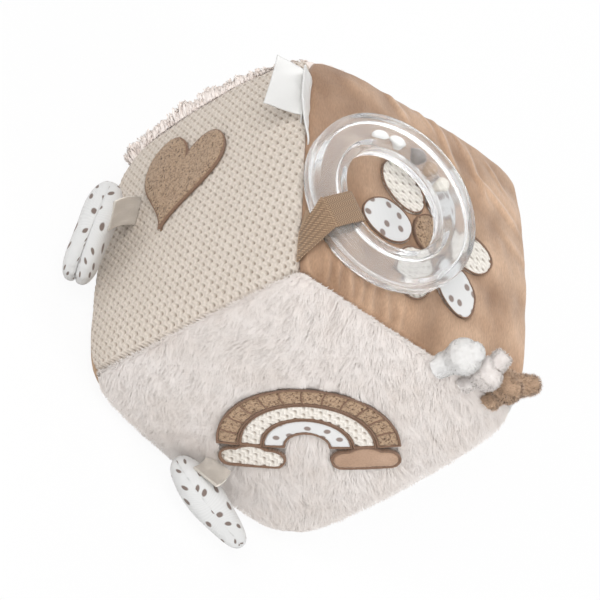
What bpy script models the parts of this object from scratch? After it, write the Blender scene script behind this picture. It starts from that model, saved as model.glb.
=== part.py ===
# Soft fabric activity block for a baby, in metres, +Z up.
# Six sewn panels over a loose fill, with fabric shapes sewn on three faces, a clear
# rattle ring on a tape, two stuffed danglers on tapes, three knotted fabric tubes and
# two blank satin labels. The origin is the middle of the flat that it rests on.

import math
from collections import namedtuple

import bmesh
import bpy
from mathutils import Matrix, Vector

# Block
BLOCK_EDGE = 0.150
FOOT_HEIGHT = 0.006
SEAM_BOW = 0.004
BACK_SEAM_BOW = 0.001
CORNER_DRAW = 0.008
SEAM_THICKNESS = 0.0012
SEAM_GAP = 0.0005
CLEARANCE = 0.0003
CROWN_POWER = 0.75
CORNER_POWER = 8
GRID_STEPS = 10

# Each corner of the soft block leans by these shares of the edge, in X, Y and Z
CORNER_LEAN_SHARES = {
    (-1, -1, 1): (0.006, -0.010, -0.006),
    (-1, 1, 1): (0.005, -0.041, -0.051),
    (1, -1, 1): (0.003, 0.026, 0.034),
    (1, 1, 1): (-0.029, 0.049, 0.035),
    (-1, -1, -1): (0.011, 0.038, 0.0),
    (1, -1, -1): (-0.023, -0.070, 0.0),
    (-1, 1, -1): (0.029, 0.008, 0.0),
    (1, 1, -1): (0.010, -0.020, 0.0),
}

# Fabrics of the six panels: crown in the middle of each face, and cloth thickness
VELOUR_CROWN = 0.011
VELOUR_THICKNESS = 0.0018
FUR_CROWN = 0.010
FUR_THICKNESS = 0.0035
KNIT_CROWN = 0.009
KNIT_THICKNESS = 0.0024
TEDDY_CROWN = 0.010
TEDDY_THICKNESS = 0.0040
JERSEY_CROWN = 0.009
JERSEY_THICKNESS = 0.0016
BASE_CROWN = 0.010
BASE_THICKNESS = 0.0018

# Sewn-on fabric shapes
PATCH_THICKNESS = 0.0012
PATCH_GRID = 0.009
PATCH_GAP = 0.0005
HEART_WIDTH = 0.064
HEART_HEIGHT = 0.060
HEART_ACROSS = 0.0235
HEART_UP = -0.0092
HEART_TURN = math.radians(-72)
FLOWER_ACROSS = -0.003
FLOWER_UP = -0.015
FLOWER_CENTRE_RADIUS = 0.0115
PETAL_LENGTH = 0.031
PETAL_WIDTH = 0.0240
PETAL_COUNT = 6
FLOWER_TURN = math.radians(12)
RAINBOW_ACROSS = 0.0150
RAINBOW_UP = -0.0070
RAINBOW_TURN = math.radians(50)
RAINBOW_RADIUS = 0.043
RAINBOW_BAND = 0.0105
CLOUD_MIDDLE_RADIUS = 0.0100
CLOUD_END_RADIUS = 0.0068
CLOUD_END_REACH = 0.0088
CLOUD_FOOT_DROP = 0.0060

# Clear rattle ring, its beads and its tape
BEAD_DIAMETER = 0.0072
BEAN_LENGTH = 0.0090
BEAN_WIDTH = 0.0062
DROP_LENGTH = 0.0094
DROP_TAPER_SHARE = 0.35
BEADS_START = math.radians(113.1)
BEAD_CLOSE_GAP = 0.0005
BEAD_WIDE_GAP = 0.0026
BEAD_SIDE_PLAY = 0.0026
BEAD_HEAD_PLAY = 0.0020
RING_HOLE_RADIUS = 0.0268
RING_RIM = 0.0044
RING_WALL = 0.0018
RING_OUTER_RADIUS = RING_HOLE_RADIUS + 2 * RING_RIM + BEAD_DIAMETER + BEAD_SIDE_PLAY
RING_THICKNESS = 2 * RING_WALL + BEAD_DIAMETER + BEAD_HEAD_PLAY
RING_EDGE_RADIUS = 0.0036
RING_CHANNEL_RADIUS = 0.0020
RING_X = -0.0391
RING_Y = -0.0223
RING_Z = 0.1693
RING_TILT = math.radians(14.9)
RING_LEAN_AZIMUTH = math.radians(-160.6)
RING_STEPS = 52
RING_TAPE_WIDTH = 0.0150
RING_TAPE_THICKNESS = 0.0008
RING_TAPE_AZIMUTH = math.radians(-141)
RING_TAPE_ALONG = -0.059
RING_TAPE_LIFT = 0.0016

# Stuffed danglers, each on a doubled tape
DANGLER_LENGTH = 0.060
DANGLER_WIDTH = 0.030
DANGLER_THICKNESS = 0.018
DANGLER_TAPE_WIDTH = 0.0150
DANGLER_TAPE_THICKNESS = 0.0014
DANGLER_SEAT_DROP = 0.0006
DANGLER_TAPER_SHARE = 0.22
DANGLER_RING_SHARES = (0.93, 0.8, 0.6, 0.33)
TAPE_BEND_SHARE = 0.4
SIDE_DANGLER_X = -0.0962
SIDE_DANGLER_Y = -0.0010
SIDE_DANGLER_Z = 0.0245
SIDE_DANGLER_ALONG = Vector((0.03, -0.92, -0.38)).normalized()
SIDE_DANGLER_FACE = Vector((-0.79, 0.11, -0.60)).normalized()
SIDE_TAPE_ACROSS = 0.0145
SIDE_TAPE_UP = -0.0385
SIDE_TAPE_WIDTH_WAY = Vector((0, 0.92, 0.38)).normalized()
FRONT_DANGLER_X = 0.0054
FRONT_DANGLER_Y = -0.0998
FRONT_DANGLER_Z = 0.0155
FRONT_DANGLER_ALONG = Vector((0.950, -0.379, -0.056)).normalized()
FRONT_DANGLER_FACE = Vector((0.25, 0.51, 0.82)).normalized()
FRONT_TAPE_ACROSS = 0.0010
FRONT_TAPE_UP = -0.0510
FRONT_TAPE_WIDTH_WAY = Vector((1, -0.2, -0.1)).normalized()

# Knotted fabric tubes in the seam between the velour and the fur. A knot lies off the
# seam by its lean, in shares of the rise, and its tail points the way given
Tube = namedtuple("Tube", "name along knot_radius lean_shares tail_way tail_reach colour")
WHITE_TUBE = Tube("white_knot", 0.0155, 0.0090, (0.13, 0, 1.05), (0.3, 0.9, -0.05), 0.0120,
                  (0.86, 0.85, 0.83))
CREAM_TUBE = Tube("cream_knot", 0.0330, 0.0076, (0.10, 0, 0.98), (0.1, 0.6, 0.79), 0.0115,
                  (0.76, 0.71, 0.68))
BROWN_TUBE = Tube("brown_knot", 0.0515, 0.0076, (-0.15, 0.1, 0.95), (0.83, 0.35, 0.42), 0.0155,
                  (0.45, 0.31, 0.20))
TUBE_RADIUS = 0.0043
KNOT_RISE = 0.0105
KNOT_SWELL_SHARE = 0.62
KNOT_GROOVE_SHARE = 0.16
KNOT_BEND_SHARE = 0.5
TUBE_PRESSED_SHARE = 0.12
TUBE_SIDES = 14
TUBE_LIFT = 0.0006
TUBE_PRESSED_LENGTH = 0.0040

# Blank satin labels in the seam between the velour and the knit
LABEL_THICKNESS = 0.0009
LABEL_RISE = 0.0050
LABEL_LIFT = 0.0005
LABEL_APART = 0.0008
FLAP_LABEL_LENGTH = 0.0300
FLAP_LABEL_REACH = 0.0170
FLAP_LABEL_ALONG = 0.0345
FLAP_LABEL_WAY = Vector((-0.93, -0.12, -0.35)).normalized()
STRIP_LABEL_LENGTH = 0.0360
STRIP_LABEL_HEIGHT = 0.0110
STRIP_LABEL_ALONG = 0.0300

HALF_EDGE = BLOCK_EDGE / 2
BLOCK_CENTRE = Vector((0, 0, HALF_EDGE))
UP = Vector((0, 0, 1))

Panel = namedtuple("Panel", "name axis side crown thickness colour roughness")
VELOUR = Panel("velour_top_panel", 2, 1, VELOUR_CROWN, VELOUR_THICKNESS, (0.51, 0.34, 0.23), 0.85)
FUR = Panel("fur_front_panel", 1, -1, FUR_CROWN, FUR_THICKNESS, (0.74, 0.68, 0.62), 0.9)
KNIT = Panel("knit_side_panel", 0, -1, KNIT_CROWN, KNIT_THICKNESS, (0.75, 0.67, 0.56), 0.85)
TEDDY = Panel("teddy_back_panel", 1, 1, TEDDY_CROWN, TEDDY_THICKNESS, (0.68, 0.58, 0.53), 0.95)
JERSEY = Panel("dotted_side_panel", 0, 1, JERSEY_CROWN, JERSEY_THICKNESS, (0.83, 0.81, 0.79), 0.85)
BASE = Panel("velour_base_panel", 2, -1, BASE_CROWN, BASE_THICKNESS, (0.47, 0.32, 0.22), 0.85)
PANELS = (VELOUR, FUR, KNIT, TEDDY, JERSEY, BASE)


def make_material(name, colour, roughness, alpha=1.0):
    """A plain Principled BSDF with the piece's colour."""
    material = bpy.data.materials.new(name)
    material.use_nodes = True
    shader = material.node_tree.nodes["Principled BSDF"]
    shader.inputs["Base Color"].default_value = (*colour, 1.0)
    shader.inputs["Roughness"].default_value = roughness
    shader.inputs["Metallic"].default_value = 0.0
    shader.inputs["Alpha"].default_value = alpha
    return material


def add_piece(name, bm, colour, roughness, alpha=1.0, parent=None):
    """Turns a bmesh into a smooth-shaded object, under an empty if one is given."""
    bmesh.ops.recalc_face_normals(bm, faces=bm.faces)
    if bm.calc_volume(signed=True) < 0:
        bmesh.ops.reverse_faces(bm, faces=bm.faces)
    mesh = bpy.data.meshes.new(name)
    bm.to_mesh(mesh)
    bm.free()
    mesh.shade_smooth()
    mesh.set_sharp_from_angle(angle=math.radians(40))
    piece = bpy.data.objects.new(name, mesh)
    piece.data.materials.append(make_material(name, colour, roughness, alpha))
    bpy.context.scene.collection.objects.link(piece)
    piece.parent = parent
    return piece


def add_axis(name, place, turn):
    """An empty on a joint's axis that its moving pieces hang under."""
    axis = bpy.data.objects.new(name, None)
    bpy.context.scene.collection.objects.link(axis)
    axis.matrix_world = Matrix.Translation(place) @ turn.to_4x4()
    return axis


# Shape of the soft block

def corner_point(signs):
    """A corner of the block, with its lean."""
    lean = Vector(CORNER_LEAN_SHARES[signs]) * BLOCK_EDGE
    height = BLOCK_EDGE if signs[2] > 0 else FOOT_HEIGHT
    return Vector((signs[0] * HALF_EDGE, signs[1] * HALF_EDGE, height)) + lean


CORNERS = {signs: corner_point(signs) for signs in CORNER_LEAN_SHARES}


def surface_point(panel, across, up, depth=0.0):
    """A point below the outside of a panel, for places from -1 to 1 across and up it."""
    place = [across, up]
    place.insert(panel.axis, panel.side)
    flat = Vector((0, 0, 0))
    for signs, corner in CORNERS.items():
        weight = math.prod((1 + sign * value) / 2 for sign, value in zip(signs, place))
        flat += corner * weight
    inside_across = max(1 - across * across, 0)
    inside_up = max(1 - up * up, 0)
    seam_share = inside_across + inside_up - 2 * inside_across * inside_up
    corner_share = abs(across * up) ** CORNER_POWER
    radial = (flat - BLOCK_CENTRE).normalized()
    back_share = ((1 + place[1]) * (1 + place[2]) / 4) ** 4
    bow = SEAM_BOW + (BACK_SEAM_BOW - SEAM_BOW) * back_share
    bowed = flat + radial * (bow * seam_share - CORNER_DRAW * corner_share)
    outward = Vector((0, 0, 0))
    outward[panel.axis] = panel.side
    point = bowed + outward * panel.crown * (inside_across * inside_up) ** CROWN_POWER
    point.z = max(point.z, 0)
    return BLOCK_CENTRE + (point - BLOCK_CENTRE) * (1 - depth / HALF_EDGE)


def cloth_depth(panel, across, up):
    """Cloth thickness at a place: full in the middle, pressed thin at the seams."""
    inside = max(1 - across * across, 0) * max(1 - up * up, 0)
    return SEAM_THICKNESS + (panel.thickness - SEAM_THICKNESS) * inside ** CROWN_POWER


def grid_places(reach=1.0):
    """Places from -reach to reach across a panel, closer together near the seams."""
    places = []
    for step in range(GRID_STEPS + 1):
        share = 2 * step / GRID_STEPS - 1
        places.append(reach * math.sin(math.pi / 2 * share))
    return places


def add_grid(bm, panel, places, depth_of):
    """A grid of vertices and faces over a panel."""
    rows = []
    for up in places:
        row = [bm.verts.new(surface_point(panel, across, up, depth_of(across, up))) for across in places]
        rows.append(row)
    for low, high in zip(rows, rows[1:]):
        for index in range(GRID_STEPS):
            bm.faces.new((low[index], low[index + 1], high[index + 1], high[index]))
    return rows


def rim_of(rows):
    """The vertices round a grid's edge, in order."""
    right = [row[-1] for row in rows]
    left = [row[0] for row in rows]
    return rows[0][:-1] + right[:-1] + rows[-1][:0:-1] + left[:0:-1]


def add_panel(panel):
    """One sewn panel: its outside, its inside and the cut edge at its seams."""
    bm = bmesh.new()
    places = grid_places(1 - SEAM_GAP / BLOCK_EDGE)
    outer = rim_of(add_grid(bm, panel, places, lambda across, up: 0.0))
    inner = rim_of(add_grid(bm, panel, places, lambda across, up: cloth_depth(panel, across, up)))
    for index, vertex in enumerate(outer):
        last = index - 1
        bm.faces.new((outer[last], vertex, inner[index], inner[last]))
    add_piece(panel.name, bm, panel.colour, panel.roughness)


def add_filling():
    """The fibre fill that the six panels wrap."""
    bm = bmesh.new()
    for panel in PANELS:
        add_grid(bm, panel, grid_places(), lambda across, up: cloth_depth(panel, across, up) + CLEARANCE)
    bmesh.ops.remove_doubles(bm, verts=bm.verts, dist=CLEARANCE / 10)
    add_piece("fibre_filling", bm, (0.85, 0.85, 0.83), 0.95)


# Fabric shapes sewn on the panels

def turned(points, angle, across, up):
    """Points of an outline, turned and moved on a panel."""
    cosine = math.cos(angle)
    sine = math.sin(angle)
    return [(across + x * cosine - y * sine, up + x * sine + y * cosine) for x, y in points]


def add_patch(name, panel, outline, colour, roughness):
    """A cloth shape that follows the panel's crown, with the given outline."""
    bm = bmesh.new()
    bm.faces.new([bm.verts.new((across, up, 0)) for across, up in outline])
    for axis in (0, 1):
        values = [point[axis] for point in outline]
        normal = Vector((0, 0, 0))
        normal[axis] = 1
        for line in range(math.ceil(min(values) / PATCH_GRID), math.floor(max(values) / PATCH_GRID) + 1):
            geometry = bm.verts[:] + bm.edges[:] + bm.faces[:]
            bmesh.ops.bisect_plane(bm, geom=geometry, plane_co=normal * line * PATCH_GRID,
                                   plane_no=normal, dist=CLEARANCE / 100)
    bmesh.ops.remove_doubles(bm, verts=bm.verts, dist=CLEARANCE)
    bmesh.ops.triangulate(bm, faces=bm.faces)
    top = bmesh.ops.extrude_face_region(bm, geom=bm.faces[:])["geom"]
    raised = {item for item in top if isinstance(item, bmesh.types.BMVert)}
    for vertex in bm.verts:
        lift = CLEARANCE + (PATCH_THICKNESS if vertex in raised else 0)
        vertex.co = surface_point(panel, vertex.co.x / HALF_EDGE, vertex.co.y / HALF_EDGE, -lift)
    add_piece(name, bm, colour, roughness)


def arc(radius_x, radius_y, start, end, count):
    """Points along an ellipse's arc."""
    points = []
    for step in range(count + 1):
        angle = start + (end - start) * step / count
        points.append((radius_x * math.cos(angle), radius_y * math.sin(angle)))
    return points


def heart_outline():
    """A rounded heart on its own centre, point down."""
    points = []
    for step in range(36):
        t = 2 * math.pi * step / 36
        x_share = math.sin(t) ** 3
        y_share = (13 * math.cos(t) - 5 * math.cos(2 * t) - 2 * math.cos(3 * t) - math.cos(4 * t)) / 29
        points.append((x_share * HEART_WIDTH / 2, y_share * HEART_HEIGHT))
    return points


def add_heart():
    outline = turned(heart_outline(), HEART_TURN, HEART_ACROSS, HEART_UP)
    add_patch("heart_patch", KNIT, outline, (0.43, 0.29, 0.19), 0.95)


def add_flower():
    """Petals of two fabrics in turn round a bouclé middle."""
    fabrics = (("knit", (0.75, 0.67, 0.56)), ("dotted", (0.83, 0.81, 0.79)))
    petal = arc(PETAL_LENGTH / 2, PETAL_WIDTH / 2, 0, 2 * math.pi, 20)[:-1]
    petal_reach = FLOWER_CENTRE_RADIUS + PATCH_GAP + PETAL_LENGTH / 2
    for index in range(PETAL_COUNT):
        fabric, colour = fabrics[index % 2]
        angle = FLOWER_TURN + 2 * math.pi * index / PETAL_COUNT
        outline = turned([(x + petal_reach, y) for x, y in petal], angle, FLOWER_ACROSS, FLOWER_UP)
        add_patch(f"flower_petal_{fabric}_{index // 2 + 1}", VELOUR, outline, colour, 0.85)
    middle = arc(FLOWER_CENTRE_RADIUS, FLOWER_CENTRE_RADIUS, 0, 2 * math.pi, 20)[:-1]
    add_patch("flower_middle", VELOUR, turned(middle, 0, FLOWER_ACROSS, FLOWER_UP), (0.43, 0.29, 0.19), 0.95)


def cloud_outline():
    """A cloud of three round humps over a flat foot."""
    humps = (
        (0, CLOUD_MIDDLE_RADIUS),
        (CLOUD_END_REACH, CLOUD_END_RADIUS),
        (-CLOUD_END_REACH, CLOUD_END_RADIUS),
    )
    points = []
    for step in range(32):
        angle = 2 * math.pi * (step + 0.5) / 32
        reach = 0
        for centre, radius in humps:
            off_line = centre * math.sin(angle)
            if abs(off_line) < radius:
                reach = max(reach, centre * math.cos(angle) + math.sqrt(radius ** 2 - off_line ** 2))
        if math.sin(angle) < 0:
            reach = min(reach, -CLOUD_FOOT_DROP / math.sin(angle))
        points.append((reach * math.cos(angle), reach * math.sin(angle)))
    return points


def add_rainbow():
    """Three arched bands with a cloud at each foot."""
    bands = (
        ("rainbow_outer_band", (0.46, 0.31, 0.20)),
        ("rainbow_middle_band", (0.75, 0.67, 0.56)),
        ("rainbow_inner_band", (0.83, 0.81, 0.79)),
    )
    radius = RAINBOW_RADIUS
    for name, colour in bands:
        inner = radius - RAINBOW_BAND
        outline = arc(radius, radius, 0, math.pi, 20) + arc(inner, inner, math.pi, 0, 16)
        add_patch(name, FUR, turned(outline, RAINBOW_TURN, RAINBOW_ACROSS, RAINBOW_UP), colour, 0.9)
        radius = inner - PATCH_GAP
    middle_radius = RAINBOW_RADIUS - 1.5 * RAINBOW_BAND - PATCH_GAP
    clouds = (("cloud_cream", 1, (0.75, 0.67, 0.56)), ("cloud_brown", -1, (0.51, 0.34, 0.23)))
    drop = CLOUD_MIDDLE_RADIUS + PATCH_GAP
    for name, side, colour in clouds:
        outline = [(x - side * middle_radius, y - drop) for x, y in cloud_outline()]
        add_patch(name, FUR, turned(outline, RAINBOW_TURN, RAINBOW_ACROSS, RAINBOW_UP), colour, 0.85)


# Clear rattle ring

def ring_axis_frame():
    """Centre and turn of the tilted ring."""
    tilt_axis = Vector((-math.sin(RING_LEAN_AZIMUTH), math.cos(RING_LEAN_AZIMUTH), 0))
    return Vector((RING_X, RING_Y, RING_Z)), Matrix.Rotation(RING_TILT, 3, tilt_axis)


def half_ring_profile():
    """Section of the upper half shell: rounded outside, open channel below."""
    seam = CLEARANCE / 2
    top = RING_THICKNESS / 2
    fillet = RING_EDGE_RADIUS
    channel_top = top - RING_WALL
    channel_inner = RING_HOLE_RADIUS + RING_RIM
    channel_outer = RING_OUTER_RADIUS - RING_RIM
    bend = RING_CHANNEL_RADIUS
    points = [(RING_OUTER_RADIUS, seam)]
    for x, y in arc(fillet, fillet, 0, math.pi / 2, 3):
        points.append((RING_OUTER_RADIUS - fillet + x, top - fillet + y))
    for x, y in arc(fillet, fillet, math.pi / 2, math.pi, 3):
        points.append((RING_HOLE_RADIUS + fillet + x, top - fillet + y))
    points.append((RING_HOLE_RADIUS, seam))
    points.append((channel_inner, seam))
    for x, y in arc(bend, bend, math.pi, math.pi / 2, 2):
        points.append((channel_inner + bend + x, channel_top - bend + y))
    for x, y in arc(bend, bend, math.pi / 2, 0, 2):
        points.append((channel_outer - bend + x, channel_top - bend + y))
    points.append((channel_outer, seam))
    return points


def add_half_ring(name, side, parent):
    """One half shell, turned round the ring's axis."""
    bm = bmesh.new()
    vertices = [bm.verts.new((x, 0, side * z)) for x, z in half_ring_profile()]
    edges = [bm.edges.new((vertices[index - 1], vertices[index])) for index in range(len(vertices))]
    bmesh.ops.spin(bm, geom=vertices + edges, cent=(0, 0, 0), axis=UP, angle=2 * math.pi,
                   steps=RING_STEPS, use_merge=True, use_duplicate=False)
    add_piece(name, bm, (0.92, 0.94, 0.95), 0.05, alpha=0.3, parent=parent)


Bead = namedtuple("Bead", "name length width taper gap colour")
BEADS = (
    Bead("bead_white_1", BEAN_LENGTH, BEAN_WIDTH, 0, 0, (0.9, 0.9, 0.88)),
    Bead("bead_white_2", BEAN_LENGTH, BEAN_WIDTH, 0, BEAD_CLOSE_GAP, (0.9, 0.9, 0.88)),
    Bead("bead_grey", DROP_LENGTH, BEAD_DIAMETER, DROP_TAPER_SHARE, BEAD_WIDE_GAP, (0.33, 0.30, 0.28)),
    Bead("bead_brown", BEAD_DIAMETER, BEAD_DIAMETER, 0, BEAD_CLOSE_GAP, (0.40, 0.26, 0.16)),
    Bead("bead_cream", BEAD_DIAMETER, BEAD_DIAMETER, 0, BEAD_WIDE_GAP, (0.85, 0.80, 0.70)),
)


def add_beads(parent):
    """Loose beads in the channel, resting on its floor: two beans, a drop and two balls."""
    channel_middle = (RING_OUTER_RADIUS + RING_HOLE_RADIUS) / 2
    channel_floor = RING_WALL - RING_THICKNESS / 2 + CLEARANCE
    edge = BEADS_START
    for bead in BEADS:
        turn = edge - (bead.gap + bead.length / 2) / channel_middle
        edge = turn - bead.length / 2 / channel_middle
        bm = bmesh.new()
        bmesh.ops.create_uvsphere(bm, u_segments=16, v_segments=10, radius=bead.width / 2)
        for vertex in bm.verts:
            narrow = 1 - bead.taper * max(vertex.co.y, 0) / (bead.width / 2)
            stretch = bead.length / bead.width
            vertex.co = Vector((vertex.co.x * narrow, vertex.co.y * stretch, vertex.co.z * narrow))
        piece = add_piece(bead.name, bm, bead.colour, 0.25, parent=parent)
        height = channel_floor + bead.width / 2
        piece.location = (channel_middle * math.cos(turn), channel_middle * math.sin(turn), height)
        piece.rotation_euler.z = turn


def add_ribbon(name, sections, thickness, colour, roughness):
    """A band through (centre, half width vector) pairs, with its thickness across both."""
    bm = bmesh.new()
    rings = []
    for index, (centre, half_width) in enumerate(sections):
        before = sections[max(index - 1, 0)][0]
        after = sections[min(index + 1, len(sections) - 1)][0]
        face_out = (after - before).cross(half_width).normalized() * thickness / 2
        upper = (half_width + face_out, face_out - half_width)
        corners = (*upper, -half_width - face_out, half_width - face_out)
        rings.append([bm.verts.new(centre + corner) for corner in corners])
    for low, high in zip(rings, rings[1:]):
        for index in range(4):
            bm.faces.new((low[index - 1], low[index], high[index], high[index - 1]))
    bm.faces.new(rings[0])
    bm.faces.new(rings[-1])
    return add_piece(name, bm, colour, roughness)


def seam_point(first, second, along, lift=0.0):
    """A place above the seam between two panels, at a distance along it from its middle."""
    place = [0.0, 0.0, 0.0]
    place[first.axis] = first.side
    place[second.axis] = second.side
    free = 3 - first.axis - second.axis
    place[free] = along / HALF_EDGE
    del place[first.axis]
    return surface_point(first, *place, -lift)


def add_ring_tape():
    """The tape that is sewn in the seam and goes round the ring, both ends in the seam."""
    centre, turn = ring_axis_frame()
    normal = turn @ UP
    radial = turn @ Vector((math.cos(RING_TAPE_AZIMUTH), math.sin(RING_TAPE_AZIMUTH), 0))
    tangent = normal.cross(radial)
    half_width = RING_TAPE_WIDTH / 2
    skin = CLEARANCE + RING_TAPE_THICKNESS / 2
    top = RING_THICKNESS / 2 + skin
    outside = RING_OUTER_RADIUS + skin
    inside = math.sqrt(RING_HOLE_RADIUS ** 2 - half_width ** 2) - skin
    bend = RING_EDGE_RADIUS
    path = []
    for x, y in arc(bend, bend, math.radians(40), math.pi / 2, 2):
        path.append((outside - bend + x, top - bend + y))
    path.append(((outside + inside) / 2, top))
    for x, y in arc(bend, bend, math.pi / 2, math.pi, 3):
        path.append((inside + bend + x, top - bend + y))
    for x, y in arc(bend, bend, math.pi, 1.5 * math.pi, 3):
        path.append((inside + bend + x, bend - top + y))
    path.append(((outside + inside) / 2, -top))
    for x, y in arc(bend, bend, 1.5 * math.pi, math.radians(320), 2):
        path.append((outside - bend + x, bend - top + y))
    near = seam_point(VELOUR, KNIT, RING_TAPE_ALONG - half_width, RING_TAPE_LIFT)
    far = seam_point(VELOUR, KNIT, RING_TAPE_ALONG + half_width, RING_TAPE_LIFT)
    anchor = (near + far) / 2
    apart = normal * (RING_TAPE_THICKNESS + CLEARANCE) / 2
    half_seam = (near - far).normalized() * half_width
    sections = [(anchor + apart, half_seam)]
    for x, z in path:
        sections.append((centre + radial * x + normal * z, tangent * half_width))
    sections.append((anchor - apart, half_seam))
    add_ribbon("ring_tape", sections, RING_TAPE_THICKNESS, (0.42, 0.29, 0.18), 0.9)


def add_ring():
    centre, turn = ring_axis_frame()
    axis = add_axis("ring_axis", centre, turn)
    add_half_ring("ring_upper_shell", 1, axis)
    add_half_ring("ring_lower_shell", -1, axis)
    add_beads(axis)


# Stuffed danglers

def add_dangler(name, centre, along, face_out):
    """A stuffed leaf: round where its tape is sewn in, narrower at its tip."""
    face_out = (face_out - along * face_out.dot(along)).normalized()
    across = face_out.cross(along)
    bm = bmesh.new()
    count = 24
    rim = []
    for step in range(count):
        angle = 2 * math.pi * step / count
        taper = 1 - DANGLER_TAPER_SHARE * math.cos(angle)
        rim.append((math.cos(angle) * DANGLER_LENGTH / 2, math.sin(angle) * taper * DANGLER_WIDTH / 2))

    def place(x, y, height):
        return bm.verts.new(centre + along * x + across * y + face_out * height)

    edge = [place(x, y, 0) for x, y in rim]
    for side in (1, -1):
        outer = edge
        for share in DANGLER_RING_SHARES:
            height = side * DANGLER_THICKNESS / 2 * (1 - share * share) ** 0.5
            ring = [place(x * share, y * share, height) for x, y in rim]
            for index in range(count):
                bm.faces.new((outer[index - 1], outer[index], ring[index], ring[index - 1]))
            outer = ring
        pole = place(0, 0, side * DANGLER_THICKNESS / 2)
        for index in range(count):
            bm.faces.new((outer[index - 1], outer[index], pole))
    add_piece(name, bm, (0.83, 0.81, 0.79), 0.85)


def bent_path(start, bend, end, count):
    """Points on a smooth curve from start towards bend and on to end."""
    points = []
    for step in range(count + 1):
        share = step / count
        points.append(start.lerp(bend, share).lerp(bend.lerp(end, share), share))
    return points


def add_dangler_tape(name, panel, across, up, end, width_way):
    """A doubled tape from a panel's face to its dangler."""
    half = DANGLER_TAPE_THICKNESS / 2
    skin = CLEARANCE + half
    start = surface_point(panel, across / HALF_EDGE, up / HALF_EDGE, -skin)
    outward = Vector((0, 0, 0))
    outward[panel.axis] = panel.side
    bend = start + outward * DANGLER_TAPE_WIDTH / 4 + (end - start) * TAPE_BEND_SHARE
    half_width = width_way * DANGLER_TAPE_WIDTH / 2
    sections = [(point, half_width) for point in bent_path(start + outward * half, bend, end, 6)]
    add_ribbon(name, sections, DANGLER_TAPE_THICKNESS, (0.71, 0.60, 0.47), 0.9)


def add_side_dangler():
    """The dangler beside the knit face, seen edge on."""
    centre = Vector((SIDE_DANGLER_X, SIDE_DANGLER_Y, SIDE_DANGLER_Z))
    add_dangler("side_dangler", centre, SIDE_DANGLER_ALONG, SIDE_DANGLER_FACE)
    off_middle = DANGLER_THICKNESS / 2 + DANGLER_TAPE_THICKNESS / 2 + CLEARANCE - DANGLER_SEAT_DROP
    sewn = centre - SIDE_DANGLER_ALONG * DANGLER_LENGTH / 6 - SIDE_DANGLER_FACE * off_middle
    add_dangler_tape("side_tape", KNIT, SIDE_TAPE_ACROSS, SIDE_TAPE_UP, sewn, SIDE_TAPE_WIDTH_WAY)


def add_front_dangler():
    """The dangler in front of the fur face."""
    centre = Vector((FRONT_DANGLER_X, FRONT_DANGLER_Y, FRONT_DANGLER_Z))
    add_dangler("front_dangler", centre, FRONT_DANGLER_ALONG, FRONT_DANGLER_FACE)
    off_middle = DANGLER_THICKNESS / 2 + DANGLER_TAPE_THICKNESS / 2 + CLEARANCE - DANGLER_SEAT_DROP
    sewn = centre - FRONT_DANGLER_ALONG * DANGLER_LENGTH / 8 + FRONT_DANGLER_FACE * off_middle
    add_dangler_tape("front_tape", FUR, FRONT_TAPE_ACROSS, FRONT_TAPE_UP, sewn, FRONT_TAPE_WIDTH_WAY)


# Knotted fabric tubes

def add_knotted_tube(tube):
    """A fabric tube that comes out of the seam, swells into its knot and ends in a tail."""
    start = seam_point(VELOUR, FUR, tube.along, TUBE_LIFT)
    knot = start + Vector(tube.lean_shares) * KNOT_RISE
    end = knot + Vector(tube.tail_way).normalized() * tube.tail_reach
    path = bent_path(start, knot + (knot - start) * KNOT_BEND_SHARE, end, 18)
    bm = bmesh.new()
    side = Vector((1, 0, 0))
    rings = []
    for index, point in enumerate(path):
        before = path[max(index - 1, 0)]
        after = path[min(index + 1, len(path) - 1)]
        run = (after - before).normalized()
        side = (side - run * side.dot(run)).normalized()
        other = run.cross(side)
        swell = math.exp(-((point - knot).length / (tube.knot_radius * KNOT_SWELL_SHARE)) ** 2)
        opening = (point - start).length / TUBE_PRESSED_LENGTH
        opened = min(TUBE_PRESSED_SHARE + (1 - TUBE_PRESSED_SHARE) * opening, 1)
        ring = []
        for step in range(TUBE_SIDES):
            angle = 2 * math.pi * step / TUBE_SIDES
            groove = KNOT_GROOVE_SHARE * swell * max(math.cos(angle - index * 0.55), 0) ** 4
            radius = (TUBE_RADIUS + (tube.knot_radius - TUBE_RADIUS) * swell) * (1 - groove)
            off_axis = side * math.cos(angle) + other * math.sin(angle) * opened
            ring.append(bm.verts.new(point + off_axis * radius))
        rings.append(ring)
    for low, high in zip(rings, rings[1:]):
        for index in range(TUBE_SIDES):
            bm.faces.new((low[index - 1], low[index], high[index], high[index - 1]))
    bm.faces.new(rings[0])
    bm.faces.new(rings[-1])
    add_piece(tube.name, bm, tube.colour, 0.9)


# Blank satin labels

def label_frame(middle, length, aside):
    """Foot, half width and outward direction of a label in the velour and knit seam."""
    near = seam_point(VELOUR, KNIT, middle - length / 2, LABEL_LIFT)
    far = seam_point(VELOUR, KNIT, middle + length / 2, LABEL_LIFT)
    half_width = (far - near) / 2
    out = Vector((-1, 0, 1))
    out = (out - half_width * out.dot(half_width) / half_width.length_squared).normalized()
    return (near + far) / 2 + half_width.cross(out).normalized() * aside, half_width, out


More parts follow.
